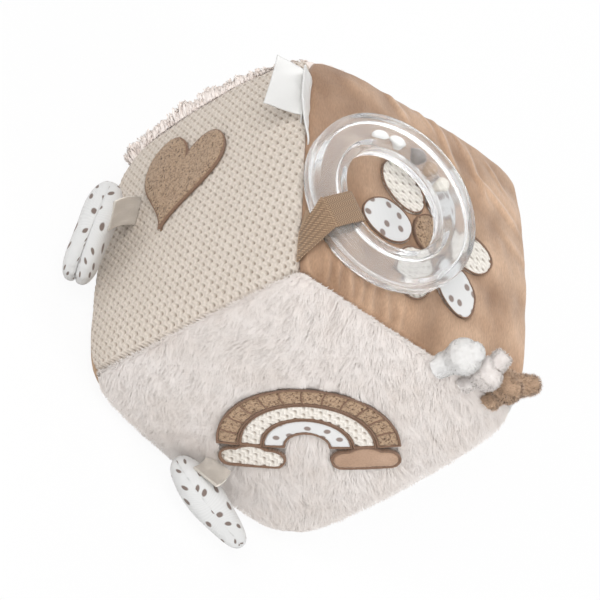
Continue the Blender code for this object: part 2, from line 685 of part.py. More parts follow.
def add_labels():
    """A short label folded over the knit, and a long one that stands straight out."""
    foot, half_width, out = label_frame(STRIP_LABEL_ALONG, STRIP_LABEL_LENGTH, LABEL_APART)
    sections = [(foot, half_width), (foot + out * STRIP_LABEL_HEIGHT, half_width)]
    add_ribbon("strip_label", sections, LABEL_THICKNESS, (0.93, 0.93, 0.92), 0.4)
    foot, half_width, out = label_frame(FLAP_LABEL_ALONG, FLAP_LABEL_LENGTH, -LABEL_APART)
    bend = foot + out * LABEL_RISE
    path = [foot] + bent_path(foot + out * LABEL_RISE / 2, bend, bend + FLAP_LABEL_WAY * LABEL_RISE / 2, 4)
    path.append(bend + FLAP_LABEL_WAY * FLAP_LABEL_REACH)
    sections = [(point, half_width) for point in path]
    add_ribbon("flap_label", sections, LABEL_THICKNESS, (0.93, 0.93, 0.92), 0.4)


def clear_scene():
    """Leaves no object that the file came with."""
    for leftover in list(bpy.data.objects):
        bpy.data.objects.remove(leftover, do_unlink=True)


clear_scene()
for block_panel in PANELS:
    add_panel(block_panel)
add_filling()
add_heart()
add_flower()
add_rainbow()
add_ring()
add_ring_tape()
add_side_dangler()
add_front_dangler()
for knotted_tube in (WHITE_TUBE, CREAM_TUBE, BROWN_TUBE):
    add_knotted_tube(knotted_tube)
add_labels()
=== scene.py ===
import math

import bpy
import numpy as np
from mathutils import Matrix, Vector, geometry


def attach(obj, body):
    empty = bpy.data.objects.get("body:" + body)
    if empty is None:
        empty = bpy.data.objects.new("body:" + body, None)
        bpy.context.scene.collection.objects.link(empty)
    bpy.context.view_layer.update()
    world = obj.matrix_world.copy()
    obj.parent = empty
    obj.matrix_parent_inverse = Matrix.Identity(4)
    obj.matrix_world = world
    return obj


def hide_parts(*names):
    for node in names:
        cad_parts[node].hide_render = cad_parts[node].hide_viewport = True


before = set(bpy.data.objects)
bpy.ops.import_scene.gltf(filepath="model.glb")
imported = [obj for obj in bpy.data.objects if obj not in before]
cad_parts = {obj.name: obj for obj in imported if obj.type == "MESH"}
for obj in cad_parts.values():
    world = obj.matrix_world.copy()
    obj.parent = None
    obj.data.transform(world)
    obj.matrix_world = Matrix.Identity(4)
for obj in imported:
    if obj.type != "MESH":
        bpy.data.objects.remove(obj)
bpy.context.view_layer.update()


# Studio
# The block stands on a plain pale floor under a large soft key lamp, with a weaker fill
# lamp and back lamp. The camera has the photograph's angle, turned about its own line of sight.

azimuth, elevation, roll = math.radians(-39.89), math.radians(33.89), math.radians(61.56)
sight = Vector((math.sin(azimuth) * math.cos(elevation), -math.cos(azimuth) * math.cos(elevation),
                math.sin(elevation)))
level = Vector((0, 0, 1)).cross(sight).normalized()
above = sight.cross(level)
picture_right = math.cos(roll) * level + math.sin(roll) * above
picture_up = math.cos(roll) * above - math.sin(roll) * level
AIM, CAMERA_REACH, PHOTO_WIDTH = Vector((0, 0, 0.075)), 1.2, 600
camera_place = AIM + sight * CAMERA_REACH

camera = bpy.data.objects.new("camera", bpy.data.cameras.new("camera"))
camera.matrix_world = Matrix((
    (picture_right.x, picture_up.x, sight.x, camera_place.x),
    (picture_right.y, picture_up.y, sight.y, camera_place.y),
    (picture_right.z, picture_up.z, sight.z, camera_place.z),
    (0, 0, 0, 1)))
camera.data.sensor_width = 36
camera.data.lens = 144.3
camera.data.shift_x = -2.8 / PHOTO_WIDTH
camera.data.shift_y = -11.3 / PHOTO_WIDTH
camera.data.clip_end = 10
bpy.context.scene.collection.objects.link(camera)
bpy.context.scene.camera = camera
bpy.context.scene.view_settings.view_transform = "Standard"


def add_lamp(name, place, width, power):
    """A square soft box that looks at the middle of the block."""
    lamp = bpy.data.objects.new(name, bpy.data.lights.new(name, "AREA"))
    lamp.data.size = width
    lamp.data.energy = power
    lamp.location = place
    lamp.rotation_euler = (Vector((0, 0, 0.08)) - Vector(place)).to_track_quat("-Z", "Y").to_euler()
    bpy.context.scene.collection.objects.link(lamp)


add_lamp("key_lamp", (-0.95, -0.55, 1.15), 0.9, 15)
add_lamp("fill_lamp", (0.9, -1.1, 0.9), 1.0, 10)
add_lamp("back_lamp", (0.2, 1.3, 0.9), 1.0, 9)

world = bpy.data.worlds.new("studio_air")
bpy.context.scene.world = world
world.use_nodes = True
nodes, links = world.node_tree.nodes, world.node_tree.links
seen = nodes.new("ShaderNodeLightPath")
air = nodes["Background"]
air.inputs["Color"].default_value = (1, 1, 1, 1)
reach = nodes.new("ShaderNodeMath")
reach.operation = "MAXIMUM"
reach_more = nodes.new("ShaderNodeMath")
reach_more.operation = "MAXIMUM"
bright = nodes.new("ShaderNodeMapRange")
bright.inputs["To Min"].default_value = 0.42
bright.inputs["To Max"].default_value = 1.0
links.new(seen.outputs["Is Camera Ray"], reach.inputs[0])
links.new(seen.outputs["Is Glossy Ray"], reach.inputs[1])
links.new(reach.outputs[0], reach_more.inputs[0])
links.new(seen.outputs["Is Transmission Ray"], reach_more.inputs[1])
links.new(reach_more.outputs[0], bright.inputs["Value"])
links.new(bright.outputs["Result"], air.inputs["Strength"])

bpy.ops.mesh.primitive_plane_add(size=6)
floor = bpy.context.object
floor.name = "floor"
floor.data.transform(floor.matrix_world)
floor.matrix_world = Matrix.Identity(4)
paper = bpy.data.materials.new("floor_paper")
paper.use_nodes = True
nodes, links = paper.node_tree.nodes, paper.node_tree.links
matt = nodes["Principled BSDF"]
matt.inputs["Base Color"].default_value = (0.86, 0.86, 0.86, 1)
matt.inputs["Roughness"].default_value = 0.9
glow = nodes.new("ShaderNodeEmission")
glow.inputs["Color"].default_value = (1, 1, 1, 1)
glow.inputs["Strength"].default_value = 1.0
seen = nodes.new("ShaderNodeLightPath")
reach = nodes.new("ShaderNodeMath")
reach.operation = "MAXIMUM"
share = nodes.new("ShaderNodeMath")
share.operation = "MULTIPLY"
share.inputs[1].default_value = 0.93
both = nodes.new("ShaderNodeMixShader")
links.new(seen.outputs["Is Camera Ray"], reach.inputs[0])
links.new(seen.outputs["Is Transmission Ray"], reach.inputs[1])
links.new(reach.outputs[0], share.inputs[0])
links.new(share.outputs[0], both.inputs["Fac"])
links.new(matt.outputs["BSDF"], both.inputs[1])
links.new(glow.outputs["Emission"], both.inputs[2])
links.new(both.outputs["Shader"], nodes["Material Output"].inputs["Surface"])
floor.data.materials.append(paper)


# Velour top panel
# A square of tan cotton velour, short-piled and soft, cut and sewn into the block's top.
# It is pulled tight at its seams, so folds run in from two of its edges.

BLOCK = 0.150
HALF = BLOCK / 2
CENTRE = np.array([0, 0, HALF])
FOOT_ROUND = 0.006
SEAM_BOW, HIGH_SEAM_DRAW, CORNER_DRAW = 0.004, 0.003, 0.008
CLOTH_INSET, SEAM_DROP, SEAM_WIDTH, EDGE_GAP = 0.0002, 0.0016, 0.004, 0.00003
FLAT_REACH, OFF_FLOOR = 0.070, 0.0001
CORNER_LEANS = {
    (-1, -1, 1): (0.0009, -0.0015, -0.0009), (-1, 1, 1): (0.00075, -0.00615, -0.00765),
    (1, -1, 1): (0.00045, 0.0039, 0.0051), (1, 1, 1): (-0.00435, 0.00735, 0.00525),
    (-1, -1, -1): (0.00165, 0.0057, 0.0), (1, -1, -1): (-0.00345, -0.0105, 0.0),
    (-1, 1, -1): (0.00435, 0.0012, 0.0), (1, 1, -1): (0.0015, -0.003, 0.0)}
# Each face has its axis, its side and how far it crowns.
TOP, UNDER = (2, 1, 0.011), (2, -1, 0.010)
FRONT, BACK = (1, -1, 0.010), (1, 1, 0.010)
LEFT, RIGHT = (0, -1, 0.009), (0, 1, 0.009)


def on_block(face, across, up, lift=0.0):
    """Points over a face of the block, for distances in metres from its middle."""
    axis, side, crown = face
    a, u = np.asarray(across, float) / HALF, np.asarray(up, float) / HALF
    place = [a, u]
    place.insert(axis, np.full_like(a, float(side)))
    flat = np.zeros(a.shape + (3,))
    for signs, lean in CORNER_LEANS.items():
        corner = np.array([signs[0] * HALF, signs[1] * HALF, BLOCK if signs[2] > 0 else FOOT_ROUND]) + lean
        weight = (1 + signs[0] * place[0]) * (1 + signs[1] * place[1]) * (1 + signs[2] * place[2]) / 8
        flat += weight[..., None] * corner
    a_in, u_in = np.maximum(1 - a * a, 0), np.maximum(1 - u * u, 0)
    ray = flat - CENTRE
    ray /= np.linalg.norm(ray, axis=-1, keepdims=True)
    bow = SEAM_BOW - HIGH_SEAM_DRAW * ((1 + place[1]) * (1 + place[2]) / 4) ** 4
    push = bow * (a_in + u_in - 2 * a_in * u_in) - CORNER_DRAW * np.abs(a * u) ** 8
    points = flat + ray * push[..., None]
    points[..., axis] += side * crown * (a_in * u_in) ** 0.75
    points[..., 2] = np.maximum(points[..., 2], 0)
    return CENTRE + (points - CENTRE) * (1 + np.asarray(lift)[..., None] / HALF)


def grid_turn(face):
    """1 where a face's across and up axes already turn outwards, or else -1."""
    return face[1] * (-1 if face[0] == 1 else 1)


def facing(face, across, up):
    """Outward unit normals of a face of the block."""
    step = 0.0008
    low_a, high_a = np.clip(across - step, -HALF, HALF), np.clip(across + step, -HALF, HALF)
    low_u, high_u = np.clip(up - step, -HALF, HALF), np.clip(up + step, -HALF, HALF)
    along = on_block(face, high_a, up) - on_block(face, low_a, up)
    rise = on_block(face, across, high_u) - on_block(face, across, low_u)
    out = np.cross(along, rise)
    out *= grid_turn(face)
    return out / np.maximum(np.linalg.norm(out, axis=-1, keepdims=True), 1e-12)


def smooth_step(value, low, high):
    share = np.clip((value - low) / (high - low), 0, 1)
    return share * share * (3 - 2 * share)


def waves(across, up, seed, size, count=24):
    """Soft seeded unevenness from -1 to 1, with swells of about the given size."""
    rng = np.random.default_rng(seed)
    total = np.zeros_like(np.asarray(across, float))
    for _ in range(count):
        turn, phase = rng.uniform(0, math.tau, 2)
        pitch = size * rng.uniform(0.7, 1.6)
        total += np.sin((across * math.cos(turn) + up * math.sin(turn)) * math.tau / pitch + phase)
    return total / math.sqrt(count / 2) / 2


def keep_cloth_map(mesh, flat):
    """Keeps each vertex's place on the flat cloth, in metres, as the UV map."""
    layer = mesh.uv_layers[0] if mesh.uv_layers else mesh.uv_layers.new(name="cloth")
    corner_of = np.zeros(len(mesh.loops), int)
    mesh.loops.foreach_get("vertex_index", corner_of)
    layer.data.foreach_set("uv", flat[corner_of].ravel())


def cut_panel(name, face, count, relief):
    """A square of cloth over one face, its edges rolled down into the seams."""
    bpy.ops.object.select_all(action="DESELECT")
    bpy.ops.mesh.primitive_grid_add(x_subdivisions=count, y_subdivisions=count, size=2, calc_uvs=True)
    panel = bpy.context.object
    panel.name = name
    mesh = panel.data
    flat = np.zeros(len(mesh.vertices) * 3)
    mesh.vertices.foreach_get("co", flat)
    flat = flat.reshape(-1, 3)
    reach = HALF - EDGE_GAP
    steps = np.sin(flat[:, :2] * math.pi / 2) * 0.35 + flat[:, :2] * 0.65
    across, up = steps[:, 0] * reach, steps[:, 1] * reach
    edge = np.minimum(reach - np.abs(across), reach - np.abs(up))
    roll_in = (1 - np.clip(edge / SEAM_WIDTH, 0, 1)) ** 2 * SEAM_DROP
    points = on_block(face, across, up, -CLOTH_INSET)
    out = facing(face, np.clip(across, -FLAT_REACH, FLAT_REACH), np.clip(up, -FLAT_REACH, FLAT_REACH))
    points += out * (relief(across, up) * smooth_step(edge, 0, SEAM_WIDTH))[:, None]
    points = CENTRE + (points - CENTRE) * (1 - roll_in / HALF)[:, None]
    points[:, 2] = np.maximum(points[:, 2], OFF_FLOOR)
    mesh.vertices.foreach_set("co", points.ravel())
    cloth = np.stack([across, up], axis=1)
    keep_cloth_map(mesh, cloth)
    bpy.ops.object.mode_set(mode="EDIT")
    bpy.ops.mesh.select_all(action="SELECT")
    if grid_turn(face) < 0:
        bpy.ops.mesh.flip_normals()
    bpy.ops.mesh.select_all(action="DESELECT")
    bpy.ops.mesh.select_mode(type="EDGE")
    bpy.ops.mesh.select_non_manifold(extend=False)
    bpy.ops.mesh.extrude_region_move(TRANSFORM_OT_translate={"value": (0, 0, 0)})
    bpy.ops.transform.resize(value=(0.965, 0.965, 0.965), center_override=(0, 0, HALF))
    bpy.ops.object.mode_set(mode="OBJECT")
    bpy.ops.object.shade_smooth()
    return panel


VELOUR_FOLDS = (
    ((-0.024, 0.074), (-0.014, 0.052), 0.0019, 0.0012),
    ((-0.004, 0.074), (0.004, 0.058), 0.0016, 0.0008),
    ((0.007, 0.070), (0.020, 0.038), 0.0020, 0.0016),
    ((0.022, 0.070), (0.028, 0.054), 0.0015, 0.0008),
    ((0.028, 0.064), (0.040, 0.034), 0.0020, 0.0016),
    ((0.035, 0.046), (0.068, 0.029), 0.0019, 0.0015),
    ((0.046, 0.064), (0.060, 0.050), 0.0016, 0.0010),
    ((0.052, 0.022), (0.074, 0.012), 0.0022, 0.0007),
    ((-0.071, -0.064), (-0.068, -0.075), 0.0013, 0.0009),
    ((-0.061, -0.058), (-0.058, -0.075), 0.0013, 0.0011),
    ((-0.054, -0.056), (-0.051, -0.075), 0.0012, 0.0010),
    ((-0.048, -0.055), (-0.044, -0.075), 0.0013, 0.0011),
    ((-0.041, -0.058), (-0.038, -0.075), 0.0012, 0.0009),
    ((-0.034, -0.060), (-0.031, -0.075), 0.0013, 0.0009),
    ((-0.026, -0.056), (-0.022, -0.075), 0.0014, 0.0010),
    ((-0.016, -0.062), (-0.013, -0.075), 0.0013, 0.0007))


def velour_relief(across, up):
    """Crests of the folds that run in from the back seam and from the front left."""
    total = waves(across, up, 3, 0.03) * 0.0008 + waves(across, up, 4, 0.010) * 0.00016
    for (x0, y0), (x1, y1), width, height in VELOUR_FOLDS:
        run_x, run_y = x1 - x0, y1 - y0
        share = ((across - x0) * run_x + (up - y0) * run_y) / (run_x ** 2 + run_y ** 2)
        off = ((across - x0) * run_y - (up - y0) * run_x) / math.hypot(run_x, run_y)
        off += 0.0007 * np.sin(share * 4 + x0 * 300)
        ends = smooth_step(share, -0.25, 0.2) * (1 - smooth_step(share, 0.6, 1.25))
        crest, trough = np.exp(-(off / (1.5 * width)) ** 2), np.exp(-(off / (3.0 * width)) ** 2)
        total += 1.1 * height * ends * (crest - 0.45 * trough)
    return total


def paint_velour_light(panel, relief):
    """Keeps painted light on a panel's vertices as its crest attribute: painted highlights on the fold crests
    and painted shade in their troughs, lighter towards the right, and painted shade near the label corner.
    """
    places = np.zeros(len(panel.data.loops) * 2)
    panel.data.uv_layers[0].data.foreach_get("uv", places)
    corner_of = np.zeros(len(panel.data.loops), int)
    panel.data.loops.foreach_get("vertex_index", corner_of)
    flat = np.zeros((len(panel.data.vertices), 2))
    flat[corner_of] = places.reshape(-1, 2)
    crest = panel.data.attributes.new("crest", "FLOAT", "POINT")
    across, up = flat.T
    # Painted light: painted shade near the label corner, more light towards the right, and painted highlights
    # on the fold crests.
    label_corner_shade = smooth_step(-across, 0.030, 0.070) * smooth_step(up, -0.030, 0.045)
    painted_light = 0.5 + across * 1.6 - 0.26 * label_corner_shade + relief(across, up) / 0.0026
    crest.data.foreach_set("value", painted_light.astype(np.float32))


velour_panel = cut_panel("velour_panel", TOP, 240, velour_relief)
paint_velour_light(velour_panel, velour_relief)
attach(velour_panel, "block")
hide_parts("velour_top_panel")


def new_material(name, roughness, sheen=0.0, sheen_roughness=0.5):
    """A cloth's shader, with its constant finish on its own sockets."""
    material = bpy.data.materials.new(name)
    material.use_nodes = True
    shader = material.node_tree.nodes["Principled BSDF"]
    shader.inputs["Roughness"].default_value = roughness
    shader.inputs["Specular IOR Level"].default_value = 0.25
    shader.inputs["Sheen Weight"].default_value = sheen
    shader.inputs["Sheen Roughness"].default_value = sheen_roughness
    shader.inputs["Sheen Tint"].default_value = (1, 0.97, 0.94, 1)
    return material, material.node_tree.nodes, material.node_tree.links, shader


def noise(nodes, links, source, scale, detail=4.0, stretch=(1, 1, 1), turn=0.0):
    """Noise on a piece's cloth map or object coordinates, scale in swells per metre."""
    place = nodes.new("ShaderNodeMapping")
    place.inputs["Scale"].default_value = stretch
    place.inputs["Rotation"].default_value = (0, 0, turn)
    texture = nodes.new("ShaderNodeTexNoise")
    texture.inputs["Scale"].default_value = scale
    texture.inputs["Detail"].default_value = detail
    links.new(source, place.inputs["Vector"])
    links.new(place.outputs["Vector"], texture.inputs["Vector"])
    return texture.outputs["Fac"]


def tones(nodes, links, value, colours):
    """Colours by value, from (place, colour) pairs."""
    ramp = nodes.new("ShaderNodeValToRGB")
    while len(ramp.color_ramp.elements) < len(colours):
        ramp.color_ramp.elements.new(0.5)
    for element, (place, colour) in zip(ramp.color_ramp.elements, colours):
        element.position = place
        element.color = (*colour, 1)
    links.new(value, ramp.inputs["Fac"])
    return ramp.outputs["Color"]


def blended(nodes, links, kind, share, first, second):
    """Two colours mixed; share is a number or a socket."""
    mix = nodes.new("ShaderNodeMix")
    mix.data_type = "RGBA"
    mix.blend_type = kind
    if isinstance(share, (int, float)):
        mix.inputs[0].default_value = share
    else:
        links.new(share, mix.inputs[0])
    links.new(first, mix.inputs[6])
    if isinstance(second, tuple):
        mix.inputs[7].default_value = (*second, 1)
    else:
        links.new(second, mix.inputs[7])
    return mix.outputs[2]


def bumped(nodes, links, shader, height, distance, strength=1.0):
    bump = nodes.new("ShaderNodeBump")
    bump.inputs["Distance"].default_value = distance
    bump.inputs["Strength"].default_value = strength
    links.new(height, bump.inputs["Height"])
    links.new(bump.outputs["Normal"], shader.inputs["Normal"])


def cloth_map(nodes):
    return nodes.new("ShaderNodeTexCoord").outputs["UV"]


def object_map(nodes):
    return nodes.new("ShaderNodeTexCoord").outputs["Object"]


def plain_number(nodes, links, operation, first, second):
    """One sum or product of sockets and numbers."""
    step = nodes.new("ShaderNodeMath")
    step.operation = operation
    for index, value in enumerate((first, second)):
        if isinstance(value, (int, float)):
            step.inputs[index].default_value = value
        else:
            links.new(value, step.inputs[index])
    return step.outputs[0]


def velour_material(name, dark, light, painted_fold_light=False):
    """Short pile: soft patches where it has been stroked and fine nap; with the crest attribute, painted
    highlights on the fold crests and painted shade in their troughs.
    """
    material, nodes, links, shader = new_material(name, 0.9, sheen=0.35, sheen_roughness=0.45)
    source = object_map(nodes)
    patches = noise(nodes, links, source, 38, 3.0, (1, 0.6, 1), 0.6)
    nap = noise(nodes, links, source, 1500, 2.0, (1, 0.25, 1), 0.3)
    colour = tones(nodes, links, patches, ((0.34, dark), (0.66, light)))
    fine = tones(nodes, links, nap, ((0.3, (0.86, 0.86, 0.86)), (0.7, (1.08, 1.08, 1.08))))
    colour = blended(nodes, links, "MULTIPLY", 1.0, colour, fine)
    # Painted light and shade from the crest attribute: highlights on crests and towards the right, shade in
    # troughs and near the label corner.
    if painted_fold_light:
        crest = nodes.new("ShaderNodeAttribute")
        crest.attribute_name = "crest"
        painted_light_tone = tones(nodes, links, crest.outputs["Fac"],
                    ((0.22, (0.78, 0.75, 0.73)), (0.52, (1, 1, 1)), (0.85, (1.30, 1.34, 1.38))))
        colour = blended(nodes, links, "MULTIPLY", 1.0, colour, painted_light_tone)
    links.new(colour, shader.inputs["Base Color"])
    bumped(nodes, links, shader, nap, 0.0003, 0.6)
    return material


velour = velour_material("tan_velour", (0.375, 0.232, 0.150), (0.500, 0.330, 0.230))
painted_light_velour = velour_material("tan_velour_painted_light", (0.375, 0.230, 0.143), (0.500, 0.330, 0.220),
                                painted_fold_light=True)
velour_panel.data.materials.append(painted_light_velour)


# Knit side panel
# Cream cotton knit with a small eyelet at every other stitch, in staggered rows.
# Each stitch is a pair of slanting legs, and the cloth sinks round each eyelet.

STITCH_COLUMN, STITCH_ROW = (240.0, 6.0), (95.0, 370.0)  # stitches per metre across and up


def stitch_phase(across, up):
    """Columns and rows of stitches, counted from the middle of the panel."""
    return (STITCH_COLUMN[0] * across + STITCH_COLUMN[1] * up, STITCH_ROW[0] * across + STITCH_ROW[1] * up)


def knit_relief(across, up):
    """An eyelet sunk at every other crossing of the columns and rows."""
    column, row = stitch_phase(across, up)
    first, second = (column + row) / 2, (column - row) / 2
    off_first, off_second = first - np.round(first), second - np.round(second)
    eyelet = np.exp(-(((off_first + off_second) / 0.26) ** 2 + ((off_first - off_second) / 0.29) ** 2))
    return -0.0013 * eyelet - 0.00010 * np.cos(math.tau * column) + waves(across, up, 5, 0.045) * 0.0006


knit_panel = cut_panel("knit_panel", LEFT, 300, knit_relief)
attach(knit_panel, "block")
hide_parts("knit_side_panel")


def knit_material(name, yarn, shade, eyelet_shade):
    """Cotton yarn with painted shade in its eyelets and between its stitch legs, counted on the cloth map in
    stitches per metre.
    """
    material, nodes, links, shader = new_material(name, 0.85, sheen=0.12)

    def number(operation, first, second=0.0):
        return plain_number(nodes, links, operation, first, second)

    source = cloth_map(nodes)
    split = nodes.new("ShaderNodeSeparateXYZ")
    links.new(source, split.inputs[0])
    across, up = split.outputs[0], split.outputs[1]
    columns = number("ADD", number("MULTIPLY", across, STITCH_COLUMN[0]),
                     number("MULTIPLY", up, STITCH_COLUMN[1]))
    rows = number("ADD", number("MULTIPLY", across, STITCH_ROW[0]), number("MULTIPLY", up, STITCH_ROW[1]))
    first = number("MULTIPLY", number("ADD", columns, rows), 0.5)
    second = number("MULTIPLY", number("SUBTRACT", columns, rows), 0.5)
    off_first = number("SUBTRACT", first, number("ROUND", first))
    off_second = number("SUBTRACT", second, number("ROUND", second))
    wide = number("DIVIDE", number("ADD", off_first, off_second), 0.25)
    tall = number("DIVIDE", number("SUBTRACT", off_first, off_second), 0.27)
    far = number("ADD", number("MULTIPLY", wide, wide), number("MULTIPLY", tall, tall))
    eyelet = number("POWER", math.e, number("MULTIPLY", far, -1.0))
    slant = number("ADD", rows, number("PINGPONG", columns, 0.5))
    legs = number("COSINE", number("MULTIPLY", slant, math.tau))
    ply = number("COSINE", number("MULTIPLY", slant, math.tau * 3))
    grain = noise(nodes, links, source, 700, 2.0)
    leg_share = number("SUBTRACT", 0.75,
                       number("MULTIPLY", number("ADD", legs, number("MULTIPLY", ply, 0.5)), 0.25))
    body = noise(nodes, links, source, 60, 3.0)
    base = tones(nodes, links, body, ((0.3, shade), (0.7, yarn)))
    # Painted shade between the slanting legs of each stitch.
    leg_gap_shade = tones(nodes, links, leg_share, ((0.35, (0.80, 0.775, 0.75)), (1.0, (1, 1, 1))))
    grain_tone = tones(nodes, links, grain, ((0.3, (0.86, 0.85, 0.84)), (0.6, (1, 1, 1))))
    colour = blended(nodes, links, "MULTIPLY", 0.9, base, leg_gap_shade)
    colour = blended(nodes, links, "MULTIPLY", 1.0, colour, grain_tone)
    # Painted shade in each eyelet.
    colour = blended(nodes, links, "MIX", number("MULTIPLY", eyelet, 0.92), colour, eyelet_shade)
    links.new(colour, shader.inputs["Base Color"])
    yarn_height = number("ADD", number("MULTIPLY", grain, 1.4), number("MULTIPLY", ply, 0.2))
    height = number("SUBTRACT", yarn_height, number("MULTIPLY", legs, 0.6))
    bumped(nodes, links, shader, height, 0.00035, 0.85)
    return material


cream_knit = knit_material("cream_knit", (0.80, 0.722, 0.645), (0.765, 0.685, 0.605), (0.31, 0.245, 0.19))
knit_panel.data.materials.append(cream_knit)


# Fur front panel
# Off-white long-pile fur on a knitted ground. Its pile lies down and to the right over the
# face, parts in soft tufts, and falls a little over the seams.

def fur_relief(across, up):
    return waves(across, up, 7, 0.022) * 0.0007 - 0.0012


fur_ground = cut_panel("fur_ground", FRONT, 90, fur_relief)
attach(fur_ground, "block")
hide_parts("fur_front_panel")


def placed(name, mesh):
    """Puts a new mesh into the scene as a piece that is selected alone."""
    piece = bpy.data.objects.new(name, mesh)
    bpy.context.scene.collection.objects.link(piece)
    bpy.ops.object.select_all(action="DESELECT")
    piece.select_set(True)
    bpy.context.view_layer.objects.active = piece
    return piece


def pile_mesh(name, face, roots, turns, lengths, lifts, curls, widths, steps=4, flat_shaded=False):
    """Tapered hairs over a face: each leaves the cloth at its root and lies along its turn."""
    count = len(roots)
    share = np.linspace(0, 1, steps + 1)
    turn = turns[:, None] + curls[:, None] * share[None, :]
    stride = lengths[:, None] / steps
    at_root = np.zeros((count, 1))
    gone_across, gone_up = (np.cumsum(way(turn[:, :-1]) * stride, axis=1) for way in (np.cos, np.sin))
    across = roots[:, :1] + np.concatenate([at_root, gone_across], axis=1)
    up = roots[:, 1:] + np.concatenate([at_root, gone_up], axis=1)
    lift = lifts[:, None] * np.sin(share * 2.3)[None, :] * 1.1 - 0.0006
    spine = on_block(face, across, up, 0.0)
    out = facing(face, np.clip(across, -0.071, 0.071), np.clip(up, -0.071, 0.071))
    spine = spine + out * lift[..., None]
    run = np.gradient(spine, axis=1)
    side = np.cross(run, out)
    side /= np.maximum(np.linalg.norm(side, axis=-1, keepdims=True), 1e-12)
    roll = np.sin(np.arange(count) * 12.9898) * 0.45
    side = side * np.cos(roll)[:, None, None] + out * np.sin(roll)[:, None, None]
    half = (widths[:, None] * (1 - share ** 2)[None, :] / 2)[..., None] * side
    rows = np.empty((count, 2 * steps + 1, 3))
    rows[:, 0:2 * steps:2] = (spine + half)[:, :steps]
    rows[:, 1:2 * steps:2] = (spine - half)[:, :steps]
    rows[:, 2 * steps] = spine[:, steps]
    rows[..., 2] = np.maximum(rows[..., 2], 0.0002)
    hair = []
    for step in range(steps - 1):
        low = 2 * step
        hair += [(low, low + 3, low + 1), (low, low + 2, low + 3)]
    hair.append((2 * steps - 2, 2 * steps, 2 * steps - 1))
    hair = np.array(hair)
    faces = (hair[None] + (np.arange(count) * (2 * steps + 1))[:, None, None]).reshape(-1, 3)
    mesh = bpy.data.meshes.new(name)
    mesh.from_pydata(rows.reshape(-1, 3).tolist(), [], faces.tolist())
    # The tone runs from painted shade at each hair's root to its pale tip, a little apart from strand to
    # strand.
    tone = mesh.attributes.new("tone", "FLOAT", "POINT")
    strand = np.sin(np.arange(count) * 78.233) * 0.5 + 0.5
    along = np.repeat(share, 2)[:2 * steps + 1]
    value = strand[:, None] * 0.30 + along[None, :] * 0.70
    tone.data.foreach_set("value", value.ravel().astype(np.float32))
    mesh.shade_smooth()
    if not flat_shaded:
        stride = np.maximum(np.linalg.norm(run, axis=-1, keepdims=True), 1e-9)
        towards = out + np.cross(side, run) / stride * 0.04
        towards /= np.linalg.norm(towards, axis=-1, keepdims=True)
        shown = np.repeat(towards, 2, axis=1)[:, :2 * steps + 1]
        mesh.normals_split_custom_set_from_vertices(shown.reshape(-1, 3).tolist())
    return placed(name, mesh)


def scattered(seed, spacing, reach):
    """Jittered places over a square, one to a cell."""
    rng = np.random.default_rng(seed)
    line = np.arange(-reach, reach, spacing)
    across, up = np.meshgrid(line, line)
    places = np.stack([across.ravel(), up.ravel()], axis=1)
    return places + rng.uniform(0, spacing, places.shape), rng


def fur_turn(across, up):
    """The way the pile lies, in radians from the across axis."""
    base = -68 + 30 * smooth_step(across, -0.060, 0.060)
    swirl = -32 * np.exp(-(((across + 0.052) / 0.016) ** 2 + ((up - 0.031) / 0.016) ** 2))
    return np.radians(base + swirl + 14 * waves(across, up, 12, 0.035))


RAINBOW_PLACE, RAINBOW_LEAN = (0.0150, -0.0070), math.radians(50)


def bare_for_rainbow(across, up):
    """1 where the rainbow and its clouds cover the fur."""
    dx, dy = across - RAINBOW_PLACE[0], up - RAINBOW_PLACE[1]
    x = dx * math.cos(RAINBOW_LEAN) + dy * math.sin(RAINBOW_LEAN)
    y = dy * math.cos(RAINBOW_LEAN) - dx * math.sin(RAINBOW_LEAN)
    ring = np.hypot(x, y)
    arch = (ring < 0.0437) & (ring > 0.0099) & (y > -0.0006)
    clouds = (np.abs(np.abs(x) - 0.02675) < 0.0160) & (y < 0.0002) & (y > -0.0172)
    return arch | clouds


PILE_REACH, SEAM_LINE = 0.0748, 0.0752
FUR_SPACING, FUR_LENGTH, FUR_SPREAD, SHORTEST_HAIR = 0.00077, 0.0125, 0.003, 0.0014
roots, rng = scattered(21, FUR_SPACING, PILE_REACH)
keep = ~bare_for_rainbow(roots[:, 0], roots[:, 1])
roots = roots[keep]
count = len(roots)
clump = waves(roots[:, 0], roots[:, 1], 31, 0.009)
turns = fur_turn(roots[:, 0], roots[:, 1]) + rng.normal(0, 0.13, count) + clump * 0.30
lengths = FUR_LENGTH + rng.uniform(-FUR_SPREAD, FUR_SPREAD, count)
ahead = np.stack([np.cos(turns), np.sin(turns)], axis=1)
low_edge = smooth_step(-roots[:, 1], 0.050, 0.072)
right_edge = smooth_step(roots[:, 0], 0.055, 0.073)
lengths *= 1 - 0.45 * np.maximum(low_edge, right_edge)
room_below = (SEAM_LINE + roots[:, 1]) / np.maximum(-ahead[:, 1], 0.05)
room_aside = (SEAM_LINE - roots[:, 0]) / np.maximum(ahead[:, 0], 0.05)
room = np.maximum(np.minimum(room_below, room_aside), SHORTEST_HAIR)
lengths = np.clip(lengths, SHORTEST_HAIR, room)
for share in np.linspace(1.0, 0.1, 19):
    place = roots + ahead * (lengths * share)[:, None]
    lengths = np.where(bare_for_rainbow(place[:, 0], place[:, 1]), lengths * share + 0.0009, lengths)
lifts = 0.0010 + 0.0007 * clump + rng.uniform(0, 0.0003, count)
lifts = np.maximum(lifts * (1 - 0.5 * np.maximum(low_edge, right_edge)), 0.0006)
fur_pile = pile_mesh("fur_pile", FRONT, roots, turns, lengths, lifts, rng.normal(0, 0.35, count),
                     rng.uniform(0.00026, 0.00044, count), steps=3)
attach(fur_pile, "block")

